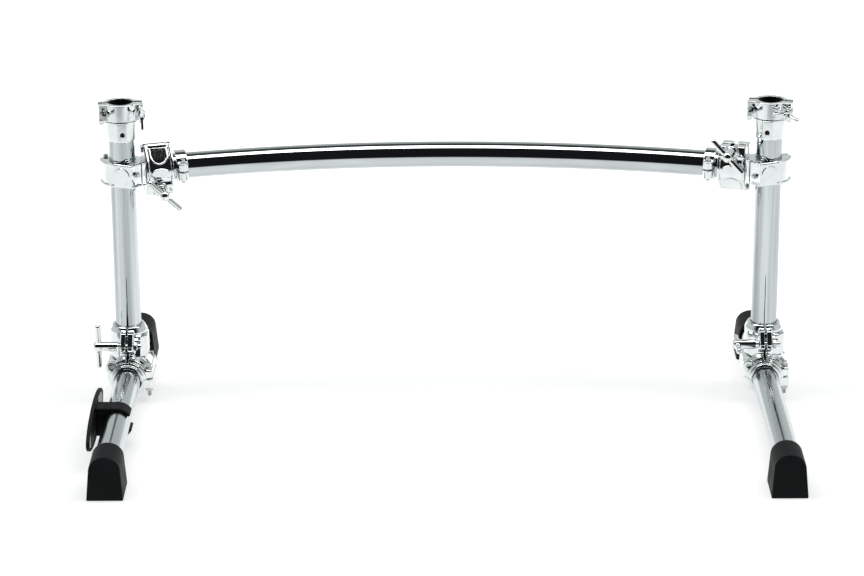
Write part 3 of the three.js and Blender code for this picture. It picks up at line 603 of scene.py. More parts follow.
def base_casting_f(p):
    x, y, z = p
    r = np.hypot(x, y)
    # collar with a turned shoulder at its top
    wall = np.interp(z, [0, 105.5, 114.0, 130.0], [28.0, 28.0, 23.6, 23.6])
    collar = both(r - wall, np.abs(z - 82) - 32, 1.4)
    shell = cyl(p, "y", LEG_Z, 0, 31, -38, 38, 2.2)
    step1 = cyl(p, "y", LEG_Z, 0, 27.5, -44, 0, 1.6)
    step2 = cyl(p, "y", LEG_Z, 0, 24, -50, 0, 1.4)
    d = union(4.0, shell, collar)
    d = union(1.0, d, step1, step2)
    # round ears of the keeper hinge
    d = union(2.0, d, cyl(p, "y", HINGE_Z, HINGE_X, HINGE_R, -40, -28.2, 1.4), cyl(p, "y", HINGE_Z, HINGE_X, HINGE_R, 20.2, 38, 1.4))
    d = union(3.0, d, block(p, 18, 36.4, -38, 31, SPLIT_Z, 52, 3.0))
    # shoulder that runs down from the collar to the bolt ear, and the pad behind the nut
    d = union(3.0, d, plate(p, "y", [(100, 12), (88, 26.6), (64, 27.0), (53, 35.0), (44, 35.0), (44, 12)], -20.6, 13.6, 2.0, 2.4))
    d = union(3.0, d, plate(p, "z", [(3, -28), (20, -28), (29.4, -18), (29.4, 6), (22, 14), (3, 14)], 68.4, 101.6, 2.0, 2.6))
    # the two lugs of the split collar
    lugs = plate(p, "x", arc(BASE_TY, BASE_TZ, 9, 150, 270, 14) + [(-20, 72), (-20, 110), (-34, 108)], -9, 9.5, 1.5, 1.6)
    d = union(2.4, d, lugs)
    # washer faces on the ears
    for by in KEEPER_BOLT_Y:
        d = smax(d, -cyl(p, "z", KEEPER_BOLT_X, by, 6.4, 52, 70, 0.6), 0.8)
        d = smax(d, -cyl(p, "z", KEEPER_BOLT_X, by, 3.5, 0, 60, 0.2), 0.5)
    d = smax(d, SPLIT_Z - z, 1.2)
    d = smax(d, -block(p, -60, -19.9, -28.2, 20.2, 20, HINGE_Z, 0.3), 0.6)
    d = smax(d, -cyl(p, "y", HINGE_Z, HINGE_X, HINGE_R + 0.8, -28.2, 20.2, 0.3), 0.6)
    d = smax(d, ring_bore(p, "y", LEG_Z, 0, BORE_R), 0.9)
    d = smax(d, -cyl(p, "z", 0, 0, BORE_R, POST_Z0 - 0.35, 130, 0.2), 0.9)
    d = smax(d, -block(p, -1.5, 1.5, -70, 0, POST_Z0 - 0.35, 130, 0.2), 0.9)
    d = smax(d, ring_bore(p, "x", BASE_TY, BASE_TZ, 4.3), 0.5)
    return smax(d, -cyl(p, "y", HINGE_Z, HINGE_X, 3.1, -60, 60, 0.1), 0.5)


def base_keeper_f(p):
    x, y, z = p
    d = union(1.2, cyl(p, "y", LEG_Z, 0, 29, -36, 36, 2.2), cyl(p, "y", LEG_Z, 0, 25.5, -42, 0, 1.6))
    d = union(3.0, d, block(p, 16, 36.6, -38, 31, 22, 44, 2.8))
    d = smax(d, z - (SPLIT_Z - 1.2), 1.0)
    d = union(1.2, d, cyl(p, "y", HINGE_Z, HINGE_X, HINGE_R, -27.5, 19.5, 1.2), block(p, HINGE_X - 7, -20.8, -27.5, 19.5, 32, HINGE_Z - 2, 1.2))
    d = smax(d, ring_bore(p, "y", LEG_Z, 0, BORE_R), 0.5)
    d = smax(d, ring_bore(p, "y", LEG_Z, 1.6, BORE_R), 0.5)
    d = smax(d, -cyl(p, "y", HINGE_Z, HINGE_X, 3.1, -60, 60, 0.1), 0.5)
    for by in KEEPER_BOLT_Y:
        d = smax(d, -block(p, KEEPER_BOLT_X - 4, 70, by - 3.6, by + 3.6, 0, 60, 1.5), 0.8)
    return d


def key_bolt_f(y0):
    def f(p):
        x, y, z = p
        q = (x - KEEPER_BOLT_X, y - y0, z)
        d = union(0.3, cyl(q, "z", 0, 0, 2.9, 9, 53, 0.5), cyl(q, "z", 0, 0, 5.2, 52.35, 54.5, 0.5), block(q, -2.9, 2.9, -2.9, 2.9, 54, 60, 0.5))
        thread = 0.16 * np.cos(2 * np.pi * (z / 1.25) - np.arctan2(q[1], q[0]))
        return np.where(z < 51, d + 0.05 + thread * (np.hypot(q[0], q[1]) > 1.5), d)
    return f


def nut_plate_f(p):
    y0, y1 = KEEPER_BOLT_Y
    x = KEEPER_BOLT_X
    pts = [(x - 5, y0 - 3.5), (x - 3.5, y0 - 5), (x + 3.5, y0 - 5), (x + 5, y0 - 3.5), (x + 5, y1 + 3.5), (x + 3.5, y1 + 5), (x - 3.5, y1 + 5), (x - 5, y1 + 3.5)]
    d = plate(p, "z", pts, 17, 21.65, 0.6, 0.7)
    for by in (y0, y1):
        d = smax(d, ring_bore(p, "z", x, by, 3.2), 0.4)
    return d


def pin_f(axis, cu, cv, r, lo, hi, head_r, h0, h1, e=0.6):
    def f(p):
        d = cyl(p, axis, cu, cv, r, lo, hi, 0.4)
        return union(0.3, d, cyl(p, axis, cu, cv, head_r, h0, h1, e))
    return f


def bar_pin_f(p):
    d = cyl(p, "x", BAR_HT, BAR_HZ, 2.1, BLOCK_S0 - 0.8, BLOCK_S1 + 0.8, 0.3)
    return union(0.3, d, cyl(p, "x", BAR_HT, BAR_HZ, 3.8, BLOCK_S1 + 0.35, BLOCK_S1 + 2.4, 0.6), cyl(p, "x", BAR_HT, BAR_HZ, 5.6, BLOCK_S0 - 3, BLOCK_S0 - 0.35, 0.7))


def top_outline_d(p, y0, ear, lo, hi, side):
    """Half of the clamp: flat ears and a round middle, on one side of y0."""
    x, y, z = p
    ears = block(p, -32.5, 32.5, -40, 40, lo, hi, 1.3)
    ears = smax(ears, side * y - ear, 1.3)
    # the ears reach down beside the socket
    skirt = smax(block(p, -32.5, 32.5, -40, 40, EAR_Z0, lo + 4, 1.3), (25.2 if side < 0 else 23.5) - np.abs(x), 0.5)
    ears = union(0.5, ears, smax(skirt, side * y - ear, 1.3))
    d = union(1.2, ears, cyl(p, "z", 0, 0, 25, lo, hi, 1.1))
    return smax(d, y0 - side * y, 0.6)


def wing_slot(p):
    return -block(p, WING_X - 3.4, 80, -80, 80, TOP_BOLT_Z - 3.4, TOP_BOLT_Z + 3.4, 3.3)


def bore_liner_f(side):
    def f(p):
        x, y, z = p
        r = np.hypot(x, y)
        d = both(np.abs(r - (TOP_BORE_R - 0.42)) - 0.4, np.abs(z - 443.4) - 12.4, 0.3)
        d = union(0.3, d, both(np.abs(r - 16.4) - 1.4, np.abs(z - TOP_Z + 0.55) - 0.45, 0.3))
        return smax(d, 1.6 - side * y, 0.2)
    return f


def gap_shade_f(p):
    # painted shade: a black sheet fills the gap between the two halves, where only shade falls
    x, y, z = p
    lo = np.where(np.abs(x) > 25.4, 428.0, SOCKET_Z1 + 0.6)
    d = np.maximum(np.abs(x) - 32.0, 16.6 - np.abs(x))
    d = both(np.maximum(d, y - 3.0), np.abs(z - (lo + TOP_Z - 0.4) / 2) - (TOP_Z - 0.4 - lo) / 2, 0.1)
    return np.maximum(d, -3.0 - y)


def top_casting_f(p):
    x, y, z = p
    r = np.hypot(x, y)
    # tapered socket
    rad = np.interp(z, [SOCKET_Z0, 403.0, 424.5, SOCKET_Z1], [20.8, 21.7, 24.5, 24.6])
    sock = both(r - rad, np.abs(z - (SOCKET_Z0 + SOCKET_Z1) / 2) - (SOCKET_Z1 - SOCKET_Z0) / 2, 1.0)
    panel = plate(p, "z", [(-8.4, -17), (8.4, -17), (8.4, -25.0), (6.8, -26.6), (-6.8, -26.6), (-8.4, -25.0)], 402.5, SOCKET_Z1 - 0.5, 0.5, 0.9)
    d = union(0.7, sock, panel)
    d = union(0.6, d, top_outline_d(p, 3.2, EAR_REAR, SOCKET_Z1 - 1, TOP_Z, 1))
    d = smax(d, -cyl(p, "z", 0, 0, BORE_R, 380, 428, 0.2), 0.7)
    d = smax(d, ring_bore(p, "z", 0, 0, TOP_BORE_R), 0.4)
    d = smax(d, -cyl(p, "z", 0, 0, 18.1, TOP_Z - 1.2, 480, 0.1), 0.3)
    d = smax(d, -block(p, -60, 60, -60, 1.5, SOCKET_Z1, 480, 0.2), 0.6)
    d = smax(d, -cyl(p, "y", 413, 0, 3.3, -60, -10, 0.2), 0.5)
    d = smax(d, -cyl(p, "y", TOP_BOLT_Z, -TOP_BOLT_X, 3.4, -5, 60, 0.2), 0.6)
    return smax(d, wing_slot(p), 0.6)


def top_gate_f(p):
    x, y, z = p
    d = top_outline_d(p, 3.2, EAR_FRONT, SOCKET_Z1 + 0.5, TOP_Z, -1)
    d = smax(d, ring_bore(p, "z", 0, 0, TOP_BORE_R), 0.4)
    d = smax(d, -cyl(p, "z", 0, 0, 18.1, TOP_Z - 1.2, 480, 0.1), 0.3)
    d = smax(d, -cyl(p, "y", TOP_BOLT_Z, -TOP_BOLT_X, 3.4, -60, 0, 0.2), 0.6)
    return smax(d, wing_slot(p), 0.6)


def wing_f(p):
    # local frame: screw axis along Y, wings along X
    x, y, z = p
    d = union(0.6, cyl(p, "y", 0, 0, 5.6, -39, -27.5, 1.6), cyl(p, "y", 0, 0, 2.9, -30, 13, 0.5), cyl(p, "y", 0, 0, 6.4, -18.6, -16.35, 0.5))
    pts = [(2, -38.5), (3, -30), (9.5, -32.5), (17.4, -36.6), (20.0, -39.4), (20.4, -41.8), (19.6, -43.9), (17.6, -44.9), (14.6, -44.3), (8.5, -41.6)]
    area = sum(pts[i - 1][0] * pts[i][1] - pts[i][0] * pts[i - 1][1] for i in range(len(pts)))
    pp = inset(pts if area > 0 else pts[::-1], 1.2)
    for k in (-1, 1):
        d = union(1.6, d, both(poly(x * k, y, pp) - 1.2, np.abs(z) - 2.1, 1.3))
    return d


def on_face(u, n):
    return (16 + 0.690 * u + 0.724 * n, -36 + 0.724 * u - 0.690 * n)


FACE_ANGLE = math.degrees(math.atan2(-0.690, 0.724))
RING_BOLT_AT = on_face(9.5, 0)
RING_BOLT = T(RING_BOLT_AT[0], RING_BOLT_AT[1], 3) @ R("Z", FACE_ANGLE)


def swell(r0, r1, a0, a1, n):
    # an arc whose radius eases from r0 to r1
    out = []
    for i in range(n + 1):
        t = i / n
        a, r = math.radians(a0 + (a1 - a0) * t), r0 + (r1 - r0) * t * t * (3 - 2 * t)
        out.append((r * math.cos(a), r * math.sin(a)))
    return out


def ring_gate_f(p):
    x, y, z = p
    outline = swell(31, 27, 158, 246, 30) + [(16, -36), on_face(19.5, 0), on_face(19.5, -7.6), on_face(4.2, -7.6), on_face(4.2, -17)] + arc(0, 0, 18.6, 285, 158, 40)
    d = plate(p, "z", outline, -RING_HALF_H, RING_HALF_H, 0.9, 2.2)
    # rolled rims at the top and bottom edges
    rim = np.abs(np.abs(z) - (RING_HALF_H - 1.9)) - 1.9
    band = plate(p, "z", swell(34, 27.8, 162, 246, 30) + arc(0, 0, 23, 246, 162, 30), -40, 40, 0.5, 0.5)
    d = union(1.0, d, smax(band, rim, 0.9))
    d = union(1.2, d, cyl(p, "z", RING_HX, RING_HY, RING_HR, -RING_HALF_H, RING_HALF_H, 1.0))
    # plain round boss on the front
    a = math.radians(-112.7)
    c, s = math.cos(a), math.sin(a)
    n = x * c + y * s
    t = -x * s + y * c
    lens = np.hypot(t - 13.0, z) - 12.6
    d = union(0.4, d, both(lens, np.abs(n - 26.9) - 0.95, 0.7))
    d = smax(d, ring_bore(p, "z", 0, 0, BORE_R), 0.8)
    d = smax(d, -cyl(p, "z", RING_HX, RING_HY, RING_HR + 0.9, -8.2, 8.2, 0.2), 0.5)
    d = smax(d, ring_bore(p, "z", RING_HX, RING_HY, 2.5), 0.4)
    q = local(p, RING_BOLT)
    d = smax(d, -cyl(q, "x", 0, 0, 3.4, -30, 6, 0.2), 0.5)
    return d


def clamp_body_f(p):
    x, y, z = p
    lug = [on_face(5.4, -8.6), on_face(21.2, -8.6), on_face(21.2, 0), on_face(29.5, 0), (40, -8), (40, 10), (27, 14)] + arc(0, 0, 27, 40, 128, 26) + arc(0, 0, 18.6, 146, -71, 60)
    ring = plate(p, "z", lug, -RING_HALF_H, RING_HALF_H, 0.9, 2.2)
    ring = union(1.5, ring, cyl(p, "z", RING_HX, RING_HY, RING_HR, -7.4, 7.4, 0.8),
                 plate(p, "z", [(-24, 17.6), (-21.5, 11.5), (-16, 11.6), (-14, 13.4), (-14, 23.2)], -7.4, 7.4, 0.4, 0.8))
    ring = smax(ring, -cyl(p, "z", RING_HX, RING_HY, RING_HR + 0.9, 7.4, 40, 0.2), 0.5)
    ring = smax(ring, -cyl(p, "z", RING_HX, RING_HY, RING_HR + 0.9, -40, -7.4, 0.2), 0.5)
    ring = smax(ring, ring_bore(p, "z", RING_HX, RING_HY, 2.5), 0.4)
    q = local(p, RING_BOLT)
    ring = smax(ring, -block(q, -30, 6, -30, 3.6, -3.7, 3.7, 0.2), 0.6)
    b = local(p, R("Z", math.degrees(PHI)))
    s, t, w = b
    ring = smax(ring, -block(b, BLOCK_S0 - 0.5, 90, -60, 0.4, -60, 60, 0.2), 0.8)
    out = [(0.4, -34), (15, -34), (15, -24)] + arc(0, 0, 27, -52, 40, 24) + [(14, 32), (6, 35), (0.4, 35)]
    blk = plate(b, "x", out, BLOCK_S0, BLOCK_S1, 1.0, 2.0)
    for a0, a1 in ((BLOCK_S0 - 1, BLOCK_S0 + KNUCKLE + 0.5), (BLOCK_S1 - KNUCKLE - 0.5, BLOCK_S1 + 1)):
        blk = smax(blk, -cyl(b, "x", BAR_HT, BAR_HZ, BAR_HR + 0.9, a0, a1, 0.2), 0.6)
    blk = union(0.6, blk, cyl(b, "x", BAR_HT, BAR_HZ, BAR_HR, BLOCK_S0 + KNUCKLE + 0.8, BLOCK_S1 - KNUCKLE - 0.8, 0.6))
    blk = smax(blk, ring_bore(b, "x", BAR_HT, BAR_HZ, 2.5), 0.4)
    blk = smax(blk, -cyl(b, "y", BAR_TZ, BAR_TS, 5.8, -5, 80, 0.2), 0.8)
    d = union(3.0, ring, blk)
    d = smax(d, ring_bore(p, "z", 0, 0, BORE_R), 0.8)
    d = smax(d, -cyl(b, "x", 0, 0, BORE_R, BAR_END_S - 1, 120, 0.2), 0.8)
    return d


def bar_gate_f(p):
    # frame: s along the bar (x), t to the back (y)
    s, t, w = p
    out = [(-0.4, 18), (-0.4, 34), (-3.3, 35.7)] + arc(0, 0, 27, 136.4, 215, 30) + [(-24, -20), (-22, -35), (-9, -35), (-0.4, -31), (-0.4, -18)]
    d = plate(p, "x", out, BLOCK_S0 + 0.6, BLOCK_S1 - 0.6, 1.6, 2.2)
    # raised rims at both ends
    rim = [(-0.4, 22), (-0.4, 35.3), (-4.4, 36.8)] + arc(0, 0, 28.6, 136.4, 212, 30) + [(-23.5, -22), (-20, -24)]
    for a0, a1 in ((BLOCK_S0, BLOCK_S0 + 4.2), (BLOCK_S1 - 4.2, BLOCK_S1)):
        d = union(1.0, d, plate(p, "x", rim, a0, a1, 0.8, 1.4))
    # height along the front of the gate: round in front, then flat up to the hinge
    ang = np.degrees(np.arctan2(w, -t))                 # 90 at the top, 0 in front
    ea = math.radians(43.6)
    up, out_n = t * math.sin(ea) + w * math.cos(ea), -t * math.cos(ea) + w * math.sin(ea)
    flat = ang > 43.6
    arcl = np.where(flat, 27.0 * ea + up, np.radians(ang) * 27.0)
    off = np.where(flat, out_n, np.hypot(t, w)) - 27.0
    mid = (BLOCK_S0 + BLOCK_S1) / 2
    u = s - mid
    # U-shaped bead of the hinge tongue
    legs = np.abs(np.abs(u) - 12.6)
    foot = np.abs(np.hypot(u, (arcl - 26.4) * 0.95) - 12.6)
    path = np.where(arcl > 26.4, legs, foot)
    on = both(path - 0.75, np.abs(off - 0.1) - 1.0, 0.45) + np.maximum(arcl - 37.5, 0) * 0.9
    d = union(0.7, d, on + (t > 0) * 20)
    # plain oval boss in front, over the rounded lug of the T-bolt
    boss = oval(u, w + 0.6, 13.4, 6.3)
    d = union(0.5, d, both(boss, np.abs(t + 25.6) - 2.7, 0.6) + (t > 0) * 20)
    d = union(4.0, d, cyl(p, "y", BAR_TZ, BAR_TS, 9.5, -29, -9, 3.0))
    for a, b in ((BLOCK_S0, BLOCK_S0 + KNUCKLE), (BLOCK_S1 - KNUCKLE, BLOCK_S1)):
        d = union(1.0, d, cyl(p, "x", BAR_HT, BAR_HZ, BAR_HR, a, b, 0.7), block(p, a, b, -7, -0.4, 22, 33, 1.2))
    d = smax(d, ring_bore(p, "x", 0, 0, BORE_R), 0.8)
    d = smax(d, -cyl(p, "x", BAR_HT, BAR_HZ, BAR_HR + 0.9, BLOCK_S0 + KNUCKLE + 0.4, BLOCK_S1 - KNUCKLE - 0.4, 0.2), 0.5)
    d = smax(d, ring_bore(p, "x", BAR_HT, BAR_HZ, 2.5), 0.4)
    d = smax(d, ring_bore(p, "y", BAR_TZ, BAR_TS, 4.4), 0.6)
    return d


def memory_f(p):
    x, y, z = p
    band = cyl(p, "x", 0, 0, 24, -8.5, 8.5, 1.6)
    boss = cyl(p, "z", 0, -28, 7.6, -14, 12, 1.6)
    d = union(1.6, band, boss, block(p, -7, 7, -28, -18, -12, 11, 1.2))
    d = smax(d, ring_bore(p, "x", 0, 0, BORE_R), 0.7)
    d = smax(d, -block(p, -30, 30, -60, 0, -1, 1, 0.1), 0.9)
    d = smax(d, ring_bore(p, "z", 0, -28, 3.4), 0.5)
    return d


def memory_bolt_f(p):
    return union(0.3, cyl(p, "z", 0, -28, 2.9, -17.5, 13, 0.6), cyl(p, "z", 0, -28, 5, 12.35, 14, 0.5), block(p, -2.7, 2.7, -30.7, -25.3, 13.5, 18.5, 0.6))


def ring_bolt_f(p):
    return union(0.3, cyl(p, "x", 0, 0, 2.9, -15.2, 1, 0.5), cyl(p, "x", 0, 0, 4.6, 0.35, 2.2, 0.5), block(p, 2, 6.2, -2.6, 2.6, -2.6, 2.6, 0.5))


def top_bolt_f(p):
    x, y, z = p
    q = (x + TOP_BOLT_X, y, z - TOP_BOLT_Z)
    return union(0.3, cyl(q, "y", 0, 0, 2.9, -34, 13, 0.5), cyl(q, "y", 0, 0, 5.6, -19, -16.35, 0.7), block(q, -2.9, 2.9, -38.5, -32.5, -2.9, 2.9, 0.6))


def top_screw_f(p):
    x, y, z = p
    q = (x, y, z - 413)
    return union(0.2, cyl(q, "y", 0, 0, 2.9, -23.5, -19.4, 0.3), block(q, -1.7, 1.7, -26, -22, -1.7, 1.7, 0.3))


def nut_f(p):
    x, y, z = p
    pts = [(7.2 * math.cos(math.radians(a)), 7.2 * math.sin(math.radians(a))) for a in range(30, 390, 60)]
    d = plate(p, "x", pts, 0, 6.2, 0.3, 0.2)
    d = smax(d, np.hypot(y, z) + np.maximum(np.abs(x - 3.1) - 1.9, 0) * 1.6 - 6.9, 0.2)
    return smax(d, ring_bore(p, "x", 0, 0, 4.15), 0.4)


def t_bolt_shape(length, reach):
    thread = []
    x = length + 5.0
    while x < length + reach - 1.0:
        thread += [(3.72, x), (3.25, x + 0.75)]
        x += 1.5
    prof = [(0, 0), (2.2, 0.12), (4.2, 0.75), (5.8, 1.9), (6.9, 3.4), (7.4, 5.2), (7.4, 12.0), (7.2, 13.0), (7.2, length - 4.0), (6.8, length - 2.6), (5.5, length - 1.0), (5.2, length), (5.2, length + 1.2), (3.9, length + 1.6)] + thread + [(3.0, length + reach - 0.6), (2.4, length + reach), (0, length + reach)]
    return lathe(supported(prof, near=0.2, far=0.6, shortest=5.0), 64, axis="x")


def t_bar_shape():
    prof = [(0, -34), (1.6, -33.9), (2.9, -33.4), (3.8, -32.3), (4.15, -30.6), (4.15, -8.0), (3.9, -7.4), (3.9, 7.4), (4.15, 8.0), (4.15, 30.6), (3.8, 32.3), (2.9, 33.4), (1.6, 33.9), (0, 34)]
    return lathe(supported(prof, near=0.25, far=0.8, shortest=5.0), 64, axis="z")


PLATE_M = T(PLATE_X, PLATE_Y, PLATE_Z) @ R("Z", PLATE_YAW)


def oval(u, v, a, b):
    k1 = np.hypot(u / a, v / b)
    k2 = np.hypot(u / a ** 2, v / b ** 2)
    return k1 * (k1 - 1) / np.maximum(k2, 1e-6)


def plate_f(p):
    x, y, z = p
    d = both(np.maximum(oval(y, z, PLATE_LY, PLATE_LZ), -12), np.abs(x) - 2.6, 1.1)
    inner = np.maximum(oval(y, z, PLATE_LY - 5.5, PLATE_LZ - 5.5), -12)
    d = smax(d, -both(inner, np.abs(np.abs(x) - 4.0) - 2.7, 0.6), 0.8)
    return d


def inlay_f(p):
    # plain pale sheet in the recess of the plate's inner face
    x, y, z = p
    d = both(np.maximum(oval(y, z, PLATE_LY - 6.6, PLATE_LZ - 6.6), -12), np.abs(x - 1.6) - 0.35, 0.3)
    # the clip's mounting pad covers its middle
    return smax(d, 60.0 - np.abs(y + 18.0), 0.3)


def clip_f(p):
    x, y, z = p
    rr = np.hypot(x, z - LEG_Z)
    shell = np.abs(rr - 21.52) - 1.87
    # open between 58 and 114 degrees (0 is up, 90 is inwards)
    m, hw = math.radians(-94.0), math.radians(152.0)
    c = x * math.sin(m) + (z - LEG_Z) * math.cos(m)
    t = np.abs(x * math.cos(m) - (z - LEG_Z) * math.sin(m))
    off = (np.arctan2(t, c) - hw) * 21.5
    mid, half = (CLIP_Y0 + CLIP_Y1) / 2, (CLIP_Y1 - CLIP_Y0) / 2
    d = both(both(shell, off, 0.8), np.abs(y - mid) - half, 0.8)
    # block that holds the plate, and the flat arm over the tube
    blk = block(p, -29.9, -14, CLIP_Y0, CLIP_Y1, 19, CLIP_TOP, 1.6)
    d = union(1.0, d, blk, block(p, -29.9, 1, CLIP_Y0, CLIP_Y1, 55, CLIP_TOP, 1.6))
    return smax(d, ring_bore(p, "y", LEG_Z, 0, BORE_R), 0.4)


# ------------------------------------------------------------------- the object
SHAPES = {}


def shape(key, make):
    if key not in SHAPES:
        SHAPES[key] = make()
    return SHAPES[key]


for side, tag in ((-1, "left"), (1, "right")):
    n = lambda s: f"{tag}_{s}"
    S, TOP, CL, BL, CO = side_matrix(side), top_matrix(side), clamp_matrix(side), block_matrix(side), collar_matrix(side)
    ident = Matrix.Identity(4)
    # leg
    emit(n("leg"), shape("leg", lambda: tube_shape(TUBE_R, TUBE_R - TUBE_WALL, LEG_FRONT + FOOT_CAP + 0.35, LEG_REAR - FOOT_CAP - 0.35, "y")), S @ T(0, 0, LEG_Z), n("leg"), "tube_chrome", LEG_TUBE, n("leg_tube"))
    for which, front in (("front", True), ("rear", False)):
        f, lo, hi = foot_f(front)
        emit(n("foot_" + which + "_rubber"), shape("foot" + which, lambda: net(f, lo, hi, 1.1)), S, n("leg"), "rubber", RUBBER, n("foot_" + which))
    # base
    emit(n("base_collar"), shape("base", lambda: net(base_casting_f, (-38, -50, SPLIT_Z), (37, 38, 114), 0.95)), S, n("base"), "cast_chrome", CAST, n("base_casting"))
    emit(n("base_saddle"), shape("keeper", lambda: net(base_keeper_f, (-34, -42, 9), (37, 36, 65), 0.95)), S, n("keeper"), "cast_chrome", CAST, n("base_keeper"))
    for i, w in enumerate(("front", "rear")):
        y0 = KEEPER_BOLT_Y[i]
        emit(n("saddle_bolt_" + w), shape("kb" + w, lambda: net(key_bolt_f(y0), (KEEPER_BOLT_X - 5.2, y0 - 5.2, 9), (KEEPER_BOLT_X + 5.2, y0 + 5.2, 60), 0.4)), S, n("base"), "bolt_steel", BOLT, n("base_key_bolt_" + w))
    emit(n("saddle_pin"), shape("bpin", lambda: net(pin_f("y", HINGE_Z, HINGE_X, 2.6, -37.5, 39, 3.9, 38.4, 40.6), (HINGE_X - 4, -37.5, HINGE_Z - 4), (HINGE_X + 4, 40.6, HINGE_Z + 4), 0.5)), S, n("base"), "bolt_steel", BOLT, n("base_hinge_pin"))
    emit(n("saddle_nut_plate"), shape("nutplate", lambda: net(nut_plate_f, (25.5, -34, 17), (35.5, 27, 21.65), 0.45)), S, n("keeper_nuts"), "bolt_steel", BOLT, n("base_nut_plate"))
    BT = S @ T(-50, BASE_TY, BASE_TZ) @ (R("X", 90) if side > 0 else ident)
    emit(n("base_handle_screw"), shape("tb1", lambda: t_bolt_shape(38.5, 34)), BT, n("base_t"), "cast_chrome", CAST, n("base_t_bolt"))
    emit(n("base_handle_bar"), shape("tbar", t_bar_shape), BT @ T(7.8, 0, 0), n("base_t"), "cast_chrome", CAST, n("base_t_bar"))
    emit(n("base_hex_nut"), shape("nut", lambda: net(nut_f, (0, -7.2, -7.2), (6.2, 7.2, 7.2), 0.42)), S @ T(9.85, BASE_TY, BASE_TZ), n("base"), "bolt_steel", BOLT, n("base_nut"))
    # post and top
    emit(n("post"), shape("post", lambda: tube_shape(TUBE_R, TUBE_R - TUBE_WALL, POST_Z0, POST_Z1, "z")), S, n("post"), "tube_chrome", TUBE, n("post_tube"))
    emit(n("top_socket"), shape("top", lambda: net(top_casting_f, (-32.5, -27, SOCKET_Z0), (32.5, 25, TOP_Z), 0.85)), TOP, n("top"), "cast_chrome", CAST, n("top_casting"))
    emit(n("top_jaw"), shape("tgate", lambda: net(top_gate_f, (-32.5, -26, EAR_Z0), (32.5, -1.4, TOP_Z), 0.75)), TOP, n("top_gate"), "cast_chrome", CAST, n("top_gate"))
    emit(n("top_square_bolt"), shape("tkb", lambda: net(top_bolt_f, (-TOP_BOLT_X - 5.6, -38.5, TOP_BOLT_Z - 5.6), (-TOP_BOLT_X + 5.6, 13, TOP_BOLT_Z + 5.6), 0.45)), TOP, n("top_gate"), "bolt_steel", BOLT, n("top_key_bolt"))
    # painted shade: the near-black set screw stands for the shade in its drilled hole
    emit(n("top_set_screw"), shape("tks", lambda: net(top_screw_f, (-3, -26, 410), (3, -19.4, 416), 0.35)), TOP, n("top"), "bolt_steel", HOLE_SHADE_STEEL, n("top_key_screw"))
    # painted shade: black sheet in the gap between the two halves
    emit(n("top_seam"), shape("seam", lambda: net(gap_shade_f, (-32, -3, 428), (32, 3, TOP_Z - 0.4), 0.5)), TOP, n("top"), "black_plastic", PLASTIC)
    emit(n("top_bore_liner_rear"), shape("linr", lambda: net(bore_liner_f(1), (-18, 1.5, 431), (18, 18, 456), 0.5)), TOP, n("top"), "black_plastic", PLASTIC)
    emit(n("top_bore_liner_front"), shape("linf", lambda: net(bore_liner_f(-1), (-18, -18, 431), (18, -1.5, 456), 0.5)), TOP, n("top_gate"), "black_plastic", PLASTIC)
    turn = 90 if side < 0 else 12
    emit(n("top_wing"), shape("wing", lambda: net(wing_f, (-20.4, -45, -6.4), (20.4, 13, 6.4), 0.55)), TOP @ T(WING_X, 0, TOP_BOLT_Z) @ R("Y", turn), n("wing"), "cast_chrome", CAST, n("top_wing_screw"))
    # crossbar clamp
    emit(n("clamp_casting"), shape("body", lambda: net(clamp_body_f, (-31, -34, -34), (69, 46, 38), 0.95)), CL, "crossbar", "cast_chrome", CAST, n("clamp_body"))
    emit(n("ring_jaw"), shape("ring", lambda: net(ring_gate_f, (-34, -38, -18), (30, 19, 18), 0.8)), CL, n("ring_gate"), "cast_chrome", CAST, n("ring_gate"))
    emit(n("ring_hinge_pin"), shape("rpin", lambda: net(pin_f("z", RING_HX, RING_HY, 2.1, -17.5, 19.5, 3.8, 18.35, 21.8, 1.1), (RING_HX - 4, RING_HY - 4, -17.5), (RING_HX + 4, RING_HY + 4, 21.8), 0.45)), CL, "crossbar", "bolt_steel", BOLT, n("ring_pin"))
    emit(n("ring_bolt"), shape("rbolt", lambda: net(ring_bolt_f, (-15.2, -4.6, -4.6), (6.2, 4.6, 4.6), 0.4)), CL @ RING_BOLT, n("ring_gate"), "bolt_steel", BOLT, n("ring_key_bolt"))
    emit(n("bar_jaw"), shape("bgate", lambda: net(bar_gate_f, (BLOCK_S0, -31, -36), (BLOCK_S1, 9.5, 38), 0.62)), BL, n("bar_gate"), "cast_chrome", CAST, n("bar_gate"))
    emit(n("bar_hinge_pin"), shape("bapin", lambda: net(bar_pin_f, (BLOCK_S0 - 3, BAR_HT - 5.6, BAR_HZ - 5.6), (BLOCK_S1 + 2.4, BAR_HT + 5.6, BAR_HZ + 5.6), 0.45)), BL, "crossbar", "bolt_steel", BOLT, n("bar_pin"))
    BART = BL @ T(BAR_TS, -60, BAR_TZ) @ R("Z", 90) @ R("X", -45)
    emit(n("bar_handle_screw"), shape("tb2", lambda: t_bolt_shape(33, 36)), BART, n("bar_t"), "cast_chrome", CAST, n("bar_t_bolt"))
    emit(n("bar_handle_bar"), shape("tbar", t_bar_shape), BART @ T(7.8, 0, 0), n("bar_t"), "cast_chrome", CAST, n("bar_t_bar"))
    # memory collar
    emit(n("stop_collar"), shape("mem", lambda: net(memory_f, (-8.5, -36, -24), (8.5, 24, 24), 0.7)), CO, n("memory"), "cast_chrome", CAST, n("memory_collar"))
    emit(n("stop_collar_bolt"), shape("membolt", lambda: net(memory_bolt_f, (-5, -33, -17.5), (5, -23, 18.5), 0.45)), CO, n("memory"), "bolt_steel", BOLT, n("memory_key_bolt"))

